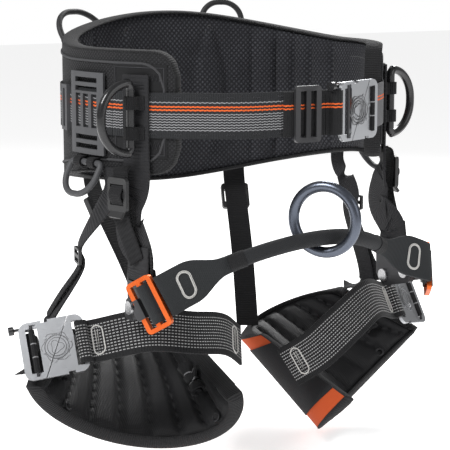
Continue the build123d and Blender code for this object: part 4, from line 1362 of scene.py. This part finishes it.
# ---- Straps below the belt ---------------------------------------------------------------------------
@dataclass
class HipStraps:
    """Riser, adjusting strap, side strap and rear elastic on one side."""

    side: Side
    slider_drop: float
    side_station: float
    leg_foot: tuple[float, float, float] = (47, 98, -26)

    def strap(self, name: str, points: Sequence[Vector], across: Sequence[Vector], widths: Sequence[float],
              finish: Finish, body: str, thick: float = 1.9 * MM) -> bpy.types.Object:
        """One strap through points.

        Args:
            name: the piece's name.
            points: its middle line.
            across: its width direction at each point.
            widths: its width at each point, in millimetres.
            finish: its finish.
            body: the body that carries it; empty where it rides on no body.
            thick: its thickness.

        Returns:
            The piece.
        """
        skin = StrapSkin(points, across, [w * MM for w in widths])
        piece = flat_piece(f"{name}_{self.side.word}", skin, thick, 4 * MM, 6)
        return dress(piece, finish, body)

    def belt(self, s: float, offset: float, z: float) -> Vector:
        """Point beside the belt in millimetres, on this side."""
        return PLAN.point(self.side.value * s * MM, offset * MM, z * MM)

    def along_belt(self, s: float) -> Vector:
        """Direction along the belt at s, towards the front."""
        return (self.belt(s + 2, 0, 0) - self.belt(s - 2, 0, 0)).normalized()

    def riser(self) -> None:
        """Wide riser from the belt to the hip link, with its turn through the link's slot."""
        top = self.belt(316, 13.1, 0)
        foot = at(self.side, 156, -102, -160)
        edge = top + Vector((0, 0, -72 * MM))
        waist = edge + (foot - edge) * 0.55 + at(self.side, 1, 18, 0)
        upper = edge + (waist - edge) * 0.5 + at(self.side, 1, 3, 0)
        turned = at(self.side, -0.15, -1, 0).normalized()
        run = self.along_belt(316)
        points = [top + Vector((0, 0, 35 * MM)), top + Vector((0, 0, -26 * MM)), edge, upper, waist,
                  foot + Vector((0, 0, 18 * MM)), foot]
        across = [run, run, run, turned, turned, Vector((0, -1, 0)), Vector((0, -1, 0))]
        piece = self.strap("riser", points, across, (29, 29, 29, 34, 42, 42, 42), GREY_WEB, "root", 2.4 * MM)
        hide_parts(f"hip_riser_{self.side.word}")
        slot = foot + Vector((0, 0, -7 * MM))
        turn = [foot + at(self.side, -3.6, 0, 6),
                slot + at(self.side, -4.6, 0, 4), slot + at(self.side, -3.6, 0, -0.5), slot,
                slot + at(self.side, 3.6, 0, -0.5), slot + at(self.side, 4.6, 0, 4),
                foot + at(self.side, 3.6, 0, 6), foot + at(self.side, 2.4, 2, 26)]
        flat = [Vector((0, -1, 0))] * len(turn)
        self.strap("riser_turn", turn, flat, [41] * len(turn), GREY_WEB, "root", 1.8 * MM)
        skin = StrapSkin(points, across, [w * MM for w in (29, 29, 29, 34, 42, 42, 42)])
        tacks = []
        for place in (0.03, 0.10, 0.36, 0.42, 0.80, 0.86):
            t = place * skin.length
            tacks.append(bar_tack("tack", skin, (t, 0), (4 * MM, 20 * MM), 1.5 * MM, 5, 0.45 * MM))
            tacks.append(bar_tack("tack", skin, (t, 0), (4 * MM, 20 * MM), -1.5 * MM, 5, 0.45 * MM))
        dress(joined(f"riser_tacks_{self.side.word}", tacks), DARK_THREAD, "root")

    def lock(self) -> bpy.types.Object:
        """Adjusting strap behind the ladder lock, with its loose end."""
        centre = self.belt(304, 26, -83)
        out = at(self.side, 1, -0.25, 0).normalized()
        run = Vector((0, 0, 1)).cross(out)
        behind = centre - out * 3.6 * MM
        reach = Vector((0, 0, 21 * MM))
        foot = at(self.side, 162, -104, -148)
        top = self.belt(304, 17.3, -56)
        points = [top, behind + reach, behind, behind - reach, foot]
        piece = self.strap("lock_strap", points, [run] * 5, (21,) * 5, BLACK_WEB, "root")
        up = Vector((0, 0, MM))
        through = [behind + reach * 0.9 + out * 1.2 * MM, centre + up * 9, centre + out * 4.2 * MM + up * 3,
                   centre + out * 4.4 * MM - up * 3, centre - up * 8 + out * MM,
                   behind - reach * 0.8 + out * 2.2 * MM]
        self.strap("lock_turn", through, [run] * 6, [17.6] * 6, BLACK_WEB, "root", 1.5 * MM)
        return piece

    def side_strap(self) -> None:
        """Thin strap from the belt through its slider, then in two strands to the leg pad."""
        run = self.along_belt(self.side_station)
        top = self.belt(self.side_station, 11.9, -60)
        centre = self.belt(234, 14, -self.slider_drop)
        out = at(self.side, 1, 0.3, 0).normalized()
        cross = Vector((0, 0, 1)).cross(out)
        behind = centre - out * 3.8 * MM
        reach = Vector((0, 0, 13.6 * MM))
        foot = leg_at(self.side, *self.leg_foot)
        across = [run, run, cross, cross]
        upper = [top + Vector((0, 0, MM)), top + Vector((0, 0, -26 * MM)), behind + reach, behind - reach]
        sewn = leg_at(self.side, 30, 119, -37)
        whole = self.strap("side_strap", [*upper, foot, sewn], [*across, cross, cross], (20,) * 6, GREY_WEB,
                           "", 1.8 * MM)
        strand = [behind - reach * 0.2 + out * 2.6 * MM, behind - reach + out * 3.4 * MM,
                  (behind - reach + foot) / 2 + out * 5 * MM - cross * 4 * MM,
                  foot + out * 2 * MM - cross * 16 * MM]
        second = self.strap("side_strand", strand, [cross] * 4, (16,) * 4, BLACK_WEB, "", 1.6 * MM)
        for piece in (whole, second):
            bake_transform(piece)
        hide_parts(f"side_riser_{self.side.word}")

    def rear_elastic(self) -> None:
        """Elastic from the back of the belt to the inner end of the leg pad."""
        s = 90.0
        low = pad_low(s * MM) / MM + 20
        run = self.along_belt(s)
        top = self.belt(s, 11.6, low)
        edge = top + Vector((0, 0, -34 * MM))
        foot = leg_at(self.side, -98, 128, -70)
        middle = edge + (foot - edge) * 0.5 + Vector((0, -3 * MM, 0))
        points = [top + Vector((0, 0, 22 * MM)), top, edge, middle, foot]
        piece = self.strap("rear_elastic", points, [run] * 5, (25,) * 5, ELASTIC, "", 1.9 * MM)
        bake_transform(piece)
        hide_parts(f"rear_riser_{self.side.word}")
        skin = StrapSkin(points, [run] * 5, [25 * MM] * 5)
        tack = bar_tack(f"elastic_tack_{self.side.word}", skin, (12 * MM, 0), (6 * MM, 20 * MM), 1.3 * MM, 7)
        dress(tack, DARK_THREAD, "root")

    def build(self) -> bpy.types.Object:
        """Make the pieces, and return the lock's strap."""
        self.riser()
        self.side_strap()
        self.rear_elastic()
        return self.lock()


# ---- Bridge ------------------------------------------------------------------------------------------
@dataclass
class Bridge:
    """Round bridge with its flat tape ends, stitched and seized to the frames."""

    half: float = 88.0

    def middle(self, x: float) -> Vector:
        """Point of the round part's middle line, in millimetres."""
        bend = (x / self.half) ** 2
        return Vector((x, -(128 + 66 - 27 * bend), -(186 - 61 + 20 * bend)))

    def tape_end(self, side: Side) -> tuple[StrapSkin, Vector, Vector, Vector]:
        """The flat tape's surface, with the frame's middle and its two directions."""
        towards = Vector((-0.45, -0.727, 0.5)).normalized()
        down = Vector((-0.26, -0.42, -0.866))
        down = (down - towards * down.dot(towards)).normalized()
        bar = Vector((176.5, -135, -188.5))
        centre = bar + towards * 12.5
        start = centre + towards * 17.5
        tip, before = self.middle(self.half), self.middle(self.half - 3)
        run = (tip - before).normalized()
        seam = tip + run * 1.0
        control = (start, start + towards * 8, seam + run * 30, seam)
        points, across, widths = [], [], []
        for k in range(13):
            t = k / 12
            u = 1 - t
            weights = (u ** 3, 3 * u * u * t, 3 * u * t * t, t ** 3)
            p = sum((c * w for c, w in zip(control, weights)), Vector())
            narrow = min(max(t - 0.5, 0) / 0.4, 1.0)
            narrow = narrow * narrow * (3 - 2 * narrow)
            points.append(p)
            across.append(down * u + Vector((-0.25, 0, -1)) * t)
            widths.append((42 + (17.5 - 42) * narrow) * MM)
        flip = Vector((side.value, 1, 1))
        skin = StrapSkin([p * flip * MM for p in points], [a * flip for a in across], widths)
        return skin, centre * flip * MM, towards * flip, down * flip

    def build(self) -> None:
        """Make the pieces."""
        stitches = []
        tapes = []
        for side in Side:
            skin, centre, towards, down = self.tape_end(side)
            tapes.append(flat_piece("tape", skin, 4.6 * MM, 2.5 * MM, 10, crown=0.5 * MM * side.value,
                                    rounding=1.6 * MM))
            for lift in (-2.5 * MM, 2.5 * MM):
                lift += 0.5 * MM * side.value * 0.6
                for length, width, radius in ((12, 25, 0.75), (14.5, 27.5, 0.5)):
                    line = oval((35 * MM, 0), length * MM, width * MM)
                    stitches.append(thread("oval", skin, line, lift, True, radius * MM))
            self.frame_turn(side, centre, towards, down)
        tape = dress(joined("bridge_tape_ends", tapes), BRIDGE_TAPE, "bridge")
        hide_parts("bridge_tapes")
        dress(joined("bridge_stitching", stitches), PALE_THREAD, "bridge")
        line = [self.middle(-self.half + 2 * self.half * k / 60) * MM for k in range(61)]
        sleeve = dress(tube("bridge_round", line, 7.8 * MM, sides=28), BRIDGE_SLEEVE, "bridge")
        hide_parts("bridge_sleeve")
        seam = [p + Vector((0, 0.6, -0.8)) * 7.9 * MM for p in line[1:-1]]
        dress(tube("bridge_seam", seam, 0.9 * MM, sides=6), EDGE_TAPE, "bridge")
        cuffs = []
        for side in Side:
            run = [self.middle(side.value * (self.half - 9 + 13 * k / 8)) * MM for k in range(9)]
            cuffs.append(tube("cuff", run, 8.6 * MM, sides=28))
        dress(joined("bridge_cuffs", cuffs), ELASTIC, "bridge")

    def frame_turn(self, side: Side, centre: Vector, towards: Vector, down: Vector) -> None:
        """Tape that passes behind the frame's front bar and turns round its middle bar.

        Args:
            side: the wearer's side.
            centre: the frame's middle.
            towards: direction to the bridge.
            down: direction along the bars.
        """
        out = towards.cross(down).normalized() * side.value
        path = [(19, -2.8), (15, -4.2), (10, -4.4), (4, -4.8), (-1, -4.7), (-4.3, -2.4), (-4.6, 1.2),
                (-2.4, 4.2), (1.2, 4.7), (4.3, 2.9), (6.2, 0.0), (8.6, -2.4), (13, -2.9)]
        points = [centre + (towards * x + out * z) * MM for x, z in path]
        skin = StrapSkin(points, [down] * len(points), [40 * MM] * len(points))
        turn = flat_piece(f"frame_turn_{side.word}", skin, 1.7 * MM, 1.4 * MM, 8, rounding=0.5 * MM)
        dress(turn, BRIDGE_TAPE, "bridge")


# ---- Leg loops ---------------------------------------------------------------------------------------
@dataclass
class LegSkin(Skin):
    """Scooped surface of a leg pad: t runs from its outer end to the groin, a from rear to front edge."""

    side: Side
    rear: Sequence[Vector]
    front: Sequence[Vector]
    shrink: float = 1.0
    base: float = 0.0

    def __post_init__(self) -> None:
        """Measure the surface."""
        self.measure()

    def scoop(self, edge: Sequence[Vector], t: float) -> Vector:
        """Point on one of the pad's edges."""
        outer, deep, inner = edge
        middle = (outer + inner) / 2
        return middle + (outer - inner) / 2 * math.cos(math.pi * t) + (deep - middle) * math.sin(math.pi * t)

    def normal(self, t: float) -> Vector:
        """Direction out of the thigh."""
        def mid(u: float) -> Vector:
            return (self.scoop(self.rear, u) + self.scoop(self.front, u)) / 2
        run = mid(t + 0.01) - mid(t - 0.01)
        axis = self.scoop(self.front, t) - self.scoop(self.rear, t)
        return (axis.cross(run) * self.side.value).normalized()

    def at(self, t: float, a: float, lift: float = 0.0) -> Vector:
        """Point on the pad."""
        rear, front = self.scoop(self.rear, t), self.scoop(self.front, t)
        return (rear + front) / 2 + (front - rear) / 2 * a * self.shrink + self.normal(t) * (self.base + lift)


@dataclass
class LegLoop:
    """Padded leg loop with its straps, rolled ends and stitching."""

    side: Side
    rear_inner: tuple[float, float, float]
    front_inner: tuple[float, float, float]
    strap_inner: tuple[float, float, float]
    channels: int = 9
    slant: float = 0.07

    @property
    def body(self) -> str:
        """The body that carries the loop."""
        return f"leg_{self.side.word}"

    def skin(self, shrink: float = 1.0, base: float = 0.0) -> LegSkin:
        """The pad's surface."""
        rear = [leg_at(self.side, *p) for p in ((27, 123, -41), (-55, 167, -74), self.rear_inner)]
        front = [leg_at(self.side, *p) for p in ((87, 56, -83), (-40, 37, -156), self.front_inner)]
        return LegSkin(self.side, rear, front, shrink, base)

    def relief(self, t: float, a: float, face: int) -> float:
        """Channels on the inside of the pad, from its rear edge to its front edge."""
        if face > 0:
            return 0.0
        groove = abs(math.sin(math.pi * self.channels * (t + self.slant * a)))
        ends = min((1 - abs(a)) / 0.14, 1.0)
        return (2.4 - 6.4 * (1 - groove) ** 2.2) * ends * MM

    def rim(self, shrink: float, lift: float) -> tuple[list[Vector], list[Vector]]:
        """Outline of the pad, and the direction away from it at each point."""
        skin = self.skin(shrink, lift)
        count = 60
        line = [skin.at(k / count, 1.0) for k in range(count + 1)]
        line += [skin.at(1, 1 - 2 * k / 14) for k in range(1, 14)]
        line += [skin.at(1 - k / count, -1.0) for k in range(count + 1)]
        line += [skin.at(0, -1 + 2 * k / 14) for k in range(1, 14)]
        normals = []
        for i, p in enumerate(line):
            run = (line[(i + 1) % len(line)] - line[i - 1]).normalized()
            k = min(i, 2 * count + 14 - i) if i <= 2 * count + 14 else 0
            normals.append(run.cross(skin.normal(min(max(k / count, 0), 1))).normalized())
        return line, normals

    def pad(self) -> None:
        """The pad, its outer cloth, its orange lining edge and its edge tape."""
        word = self.side.word
        pad = stuffed_piece(f"leg_padding_{word}", self.skin(), 13.6 * MM, 3 * MM, 44, self.relief, 6 * MM)
        puff(pad, 0.8, 2.0 * MM)
        dress(pad, LEG_INSIDE, self.body)
        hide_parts(f"leg_pad_{word}")
        shell_skin = self.skin(0.985, SHELL_LIE)
        shell = flat_piece(f"leg_cloth_{word}", shell_skin, 1.8 * MM, 6 * MM, 20, rounding=0.0)
        dress(shell, ORANGE_CLOTH, self.body)
        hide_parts(f"leg_shell_{word}")
        length = self.skin().length
        cover = flat_piece(f"leg_cover_{word}", self.skin(0.72, 9.6 * MM), 1.0 * MM, 6 * MM, 16, rounding=0.0)
        dress(cover, LEG_SHELL, self.body)
        line, normals = self.rim(1.0, 0.9 * MM)
        edge = tube(f"leg_edge_{word}", line, 8.7 * MM, True, 12, 0.30, normals)
        dress(edge, EDGE_TAPE, self.body)
        eyelets = []
        skin = self.skin()
        for t in (0.18, 0.80):
            middle = skin.at(t, 0.86, -(7.2 * MM))
            normal = skin.normal(t)
            side = (skin.at(t, 1.0) - skin.at(t, 0.8)).normalized()
            other = normal.cross(side)
            angles = [k * math.pi / 10 for k in range(20)]
            ring = [middle + (side * math.cos(u) + other * math.sin(u)) * 4.2 * MM for u in angles]
            eyelets.append(tube("eyelet", ring, 1.1 * MM, True))
        dress(joined(f"leg_eyelets_{word}", eyelets), SATIN_BLACK, self.body)

    def buckle(self) -> tuple[Vector, Vector, Vector, Vector]:
        """Middle of the quick buckle, and its directions inwards, down and out."""
        outer, inner = leg_at(Side.LEFT, 95, 65, -49), leg_at(Side.LEFT, 40, 37, -38)
        x_dir = (inner - outer).normalized()
        tilt = Vector((0.15, -0.45, -0.88))
        y_dir = (tilt - x_dir * tilt.dot(x_dir)).normalized()
        z_dir = x_dir.cross(y_dir)
        flip = Vector((self.side.value, 1, 1))
        return (outer + inner) / 2 * flip, x_dir * flip, y_dir * flip, z_dir * flip

    def straps(self) -> None:
        """Striped front strap, outer strap and their turns round the buckle's bars."""
        word = self.side.word
        centre, x_dir, y_dir, z_dir = self.buckle()
        tilt = Vector((self.side.value * 0.15, -0.45, -0.88))
        lie = 4.6 * MM
        start = centre + x_dir * 29 * MM - z_dir * lie
        end = leg_at(self.side, *self.strap_inner)
        near_end = end + at(self.side, 28, -12, 18)
        points = [start, start + x_dir * 14 * MM, leg_at(self.side, -15, 6, -27),
                  leg_at(self.side, -60, -8, -37) * 0.6 + (near_end + at(self.side, 36, -4, 14)) * 0.4,
                  near_end, end]
        skin = StrapSkin(points, [y_dir] * 2 + [tilt] * 4, [45 * MM] * 6)
        front = flat_piece(f"leg_strap_{word}", skin, 3.0 * MM, 3 * MM, 12, rounding=0.9 * MM)
        dress(front, LEG_WEB, self.body)
        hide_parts(f"leg_webbing_{word}")
        stitches = []
        for along in (39 * MM, skin.length - 17 * MM):
            for lift in (-1.7 * MM, 1.7 * MM):
                line = oval((along, 0), 12 * MM, 30 * MM)
                stitches.append(thread("oval", skin, line, lift, True, 0.7 * MM))
                stitches.append(bar_tack("tack", skin, (along, 0), (3 * MM, 22 * MM), lift, 5))
        dress(joined(f"leg_stitching_{word}", stitches), PALE_THREAD, self.body)
        self.turn("slot", [(30, -3.4), (25.6, -2.6), (24.8, 0.6), (26.4, 3.6), (30.5, 4.0), (34.4, 2.0),
                           (35.2, -2.2), (36.5, -5.0), (42, -6.2)], LEG_WEB, self.body, 2.6)
        self.turn("bar", [(-21.8, -6.2), (-22.2, -2), (-22.2, 1.9), (-20, 4.0), (-17.8, 1.9), (-17.8, -2),
                          (-18.0, -5.6)], BUCKLE_WEB, f"leg_buckle_{word}_bar", 1.4)
        pad = self.skin()
        lie = 5.2 * MM
        out = [pad.at(t, 0) + pad.normal(t) * 15.2 * MM for t in (0.07, 0.01)]
        before = centre - x_dir * 30 * MM - z_dir * lie
        end = centre - x_dir * 20 * MM - z_dir * lie
        axes = [(pad.at(t, 1) - pad.at(t, -1)).normalized() for t in (0.07, 0.01)]
        outer = StrapSkin([*out, before, end], [*axes, y_dir, y_dir], [41 * MM] * 4)
        piece = flat_piece(f"leg_outer_strap_{word}", outer, 2.3 * MM, 3 * MM, 10)
        dress(piece, BLACK_WEB, self.body)
        self.rolled_end(pad, 0.11)
        self.rolled_end(pad, 0.88)
        Etching(f"leg_etching_{word}", centre, x_dir, y_dir, z_dir, self.body).build()

    def turn(self, name: str, spots: Sequence[tuple[float, float]], finish: Finish, body: str,
             thick: float) -> None:
        """Webbing that turns round one of the buckle's bars.

        Args:
            name: which bar.
            spots: its path, inwards and out from the buckle's middle, in millimetres.
            finish: its finish.
            body: the body that carries it.
            thick: its thickness, in millimetres.
        """
        centre, x_dir, y_dir, z_dir = self.buckle()
        points = [centre + (x_dir * x + z_dir * z) * MM for x, z in spots]
        skin = StrapSkin(points, [y_dir] * len(points), [44 * MM] * len(points))
        piece = flat_piece(f"leg_turn_{name}_{self.side.word}", skin, thick * MM, 1.5 * MM, 8)
        dress(piece, finish, body)

    def rolled_end(self, pad: LegSkin, t: float) -> None:
        """Loose webbing rolled up on the inside of the pad, under an elastic keeper.

        Args:
            pad: the pad's surface.
            t: place along the pad.
        """
        name = f"{self.side.word}_{round(t * 100)}"
        middle = pad.at(t, 0.05) - pad.normal(t) * 13.4 * MM
        axis = (pad.at(t, 1) - pad.at(t, -1)).normalized()
        run = (pad.at(t + 0.06, 0) - pad.at(t - 0.06, 0)).normalized()
        out = axis.cross(run).normalized()
        points = []
        for k in range(34):
            angle, radius = 2 * math.pi * k / 12, (1.6 + 0.11 * k) * MM
            points.append(middle + (run * math.cos(angle) * 1.35 + out * math.sin(angle)) * radius)
        skin = StrapSkin(points, [axis] * 34, [38 * MM] * 34)
        roll = flat_piece(f"leg_rolled_end_{name}", skin, 1.1 * MM, 1.6 * MM, 4, rounding=0.3 * MM)
        dress(roll, BUCKLE_WEB, self.body)
        band = []
        for k in range(24):
            angle = 2 * math.pi * k / 24
            band.append(middle + (run * math.cos(angle) * 1.4 + out * math.sin(angle)) * 6.6 * MM)
        ring = StrapSkin([*band, band[0]], [axis] * 25, [9 * MM] * 25)
        keeper = flat_piece(f"leg_keeper_{name}", ring, 1.3 * MM, 1.6 * MM, 4, rounding=0.4 * MM)
        dress(keeper, ELASTIC, self.body)

    def build(self) -> None:
        """Make the pieces."""
        self.pad()
        self.straps()


@dataclass
class Etching:
    """Ring and lobes etched in the face of a quick buckle."""

    name: str
    middle: Vector
    x_dir: Vector
    y_dir: Vector
    z_dir: Vector
    body: str
    rings: tuple[float, ...] = (12.4, 9.6)
    lobes: int = 3

    def spot(self, x: float, y: float) -> Vector:
        """Point on the buckle's face, in millimetres from the etching's middle."""
        return self.middle + (self.x_dir * (x + 3.0) + self.y_dir * y + self.z_dir * 1.8) * MM

    def build(self) -> None:
        """Make the etching."""
        lines = []
        for radius in self.rings:
            ring = [self.spot(radius * math.cos(k * math.pi / 24), radius * math.sin(k * math.pi / 24))
                    for k in range(48)]
            lines.append(tube("line", ring, 0.42 * MM, True, 5))
        for outward in (14.6, 6.2):
            curve = []
            for k in range(72):
                angle = 2 * math.pi * k / 72
                radius = outward + 1.2 * math.cos(self.lobes * (2 if outward > 9 else 1) * angle)
                curve.append(self.spot(radius * math.cos(angle), radius * math.sin(angle)))
            lines.append(tube("line", curve, 0.36 * MM, True, 5))
        dress(joined(self.name, lines), ETCHED, self.body)


# ---- Hardware ----------------------------------------------------------------------------------------
@dataclass
class Hardware:
    """Finishes of the metal, moulded and rubber pieces that keep their shape from the frame."""

    finishes: tuple[tuple[str, HardFinish], ...] = (
        ("hip_plates", MOULDED_GREY), ("slot_loops", MOULDED_GREY), ("front_adjuster", SATIN_BLACK),
        ("ladder_locks", MOULDED_BLACK), ("riser_clips", MOULDED_BLACK), ("side_sliders", MOULDED_BLACK),
        ("hip_link", SATIN_BLACK), ("link_pins", STEEL), ("d_ring", GLOSS_BLACK), ("rear_ring", SOFT_RUBBER),
        ("gear_loop", MOULDED_GREY), ("bridge_frame", ANODISED_ORANGE), ("bridge_hangers", SATIN_BLACK),
        ("bridge_ring", ANODISED_GREY), ("leg_link", SATIN_BLACK),
    )
    buckles: tuple[tuple[str, HardFinish], ...] = (
        ("frame", SATIN_SILVER), ("plate", SATIN_SILVER), ("bar", SATIN_BLACK), ("knob", GLOSS_BLACK),
    )

    def finish_of(self, node: str) -> HardFinish | None:
        """The finish of a node, or nothing for a soft one."""
        if "buckle" in node:
            return dict(self.buckles)[node.rsplit("_", 1)[1]]
        for prefix, finish in self.finishes:
            if node.startswith(prefix):
                return finish
        return None

    def build(self) -> None:
        """Give every hard node its finish."""
        for name, node in frame["nodes"].items():
            finish = self.finish_of(name)
            if finish is None or node.hide_render:
                continue
            material = finish.material()
            if not node.data.materials:
                node.data.materials.append(material)
            for i in range(len(node.data.materials)):
                node.data.materials[i] = material
            LOG.info("finished %s", name)


# ---- Studio ------------------------------------------------------------------------------------------
@dataclass
class Studio:
    """Pale floor, soft lights and the camera."""

    azimuth: float = -32.0
    elevation: float = 9.5
    distance: float = 1.8
    aim: float = -0.140
    shift: float = 0.00436
    lens: float = 132.2
    floor: float = -0.375
    ambient: float = 0.30

    def light(self, name: str, place: Vector, size: float, power: float, aim: Vector) -> None:
        """One soft area light.

        Args:
            name: its name.
            place: where it stands.
            size: its width, in metres.
            power: its power, in watts.
            aim: the point that it lights.
        """
        data = bpy.data.lights.new(name, "AREA")
        data.size = size
        data.energy = power
        lamp = bpy.data.objects.new(name, data)
        bpy.context.scene.collection.objects.link(lamp)
        lamp.location = place
        lamp.rotation_euler = (aim - place).to_track_quat("-Z", "Y").to_euler()

    def build(self) -> None:
        """Set up the floor, lights, backdrop and camera."""
        bpy.ops.mesh.primitive_plane_add(size=14, location=(0, 0, self.floor))
        floor = bpy.context.object
        floor.name = "floor"
        graph = Graph("pale_floor")
        graph.plug(graph.shader.inputs["Base Color"], (0.90, 0.90, 0.90))
        graph.plug(graph.shader.inputs["Roughness"], 0.7)
        graph.plug(graph.shader.inputs["Emission Color"], (1.0, 1.0, 1.0))
        graph.plug(graph.shader.inputs["Emission Strength"], 0.62)
        floor.data.materials.append(graph.material)

        world = bpy.data.worlds.new("studio")
        bpy.context.scene.world = world
        world.use_nodes = True
        nodes, links = world.node_tree.nodes, world.node_tree.links
        backdrop = nodes["Background"]
        backdrop.inputs["Color"].default_value = (1, 1, 1, 1)
        seen = nodes.new("ShaderNodeLightPath").outputs["Is Camera Ray"]
        strength = nodes.new("ShaderNodeMapRange")
        strength.inputs["To Min"].default_value = self.ambient
        strength.inputs["To Max"].default_value = 1.0
        links.new(seen, strength.inputs["Value"])
        links.new(strength.outputs["Result"], backdrop.inputs["Strength"])

        a, e = math.radians(self.azimuth), math.radians(self.elevation)
        back = Vector((math.sin(a) * math.cos(e), -math.cos(a) * math.cos(e), math.sin(e)))
        right = Vector((math.cos(a), math.sin(a), 0))
        up = back.cross(right)
        target = Vector((0, 0, self.aim)) + right * self.shift
        middle = Vector((0, 0, -0.1))
        self.light("key", middle + back * 1.3 - right * 1.1 + up * 1.3, 0.8, 34, middle)
        self.light("fill", middle + back * 1.2 + right * 1.5 + up * 0.5, 1.2, 6, middle)
        self.light("rim", middle - back * 1.2 + right * 0.4 + up * 1.4, 0.8, 34, middle)

        data = bpy.data.cameras.new("camera")
        data.sensor_width = 36
        data.lens = self.lens
        camera = bpy.data.objects.new("camera", data)
        bpy.context.scene.collection.objects.link(camera)
        turned = Matrix((right, up, back)).transposed().to_4x4()
        turned.translation = target + back * self.distance
        camera.matrix_world = turned
        bpy.context.scene.camera = camera
        bpy.context.scene.view_settings.view_transform = "Standard"


def main() -> None:
    """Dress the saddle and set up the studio."""
    logging.basicConfig(level=logging.INFO, format="%(name)s: %(message)s")
    WaistPad().build()
    BeltWebbing().build()
    for side in Side:
        HipPatch(side).build()
    middle = WAIST_BUCKLE * MM
    run = (PLAN.flat(middle + MM) - PLAN.flat(middle - MM)).normalized()
    face = PLAN.point(middle, BUCKLE_LIE, (WEB_LOW.z + WEB_HIGH.z) / 2)
    Etching("waist_etching", face, run, Vector((0, 0, 1)), PLAN.outward(middle), "root").build()
    RingKeepers().build()
    locks = [
        HipStraps(Side.LEFT, slider_drop=128, side_station=210).build(),
        HipStraps(Side.RIGHT, slider_drop=156, side_station=285).build(),
    ]
    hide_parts("lock_straps")
    Bridge().build()
    LegLoop(Side.LEFT, (-97, 92, -76), (-76, -39, -120), (-128, 2, -88)).build()
    LegLoop(Side.RIGHT, (-107, 92, -66), (-90, -39, -96), (-124, 2, -56)).build()
    Hardware().build()
    Studio().build()


if __name__ == "__main__":
    main()
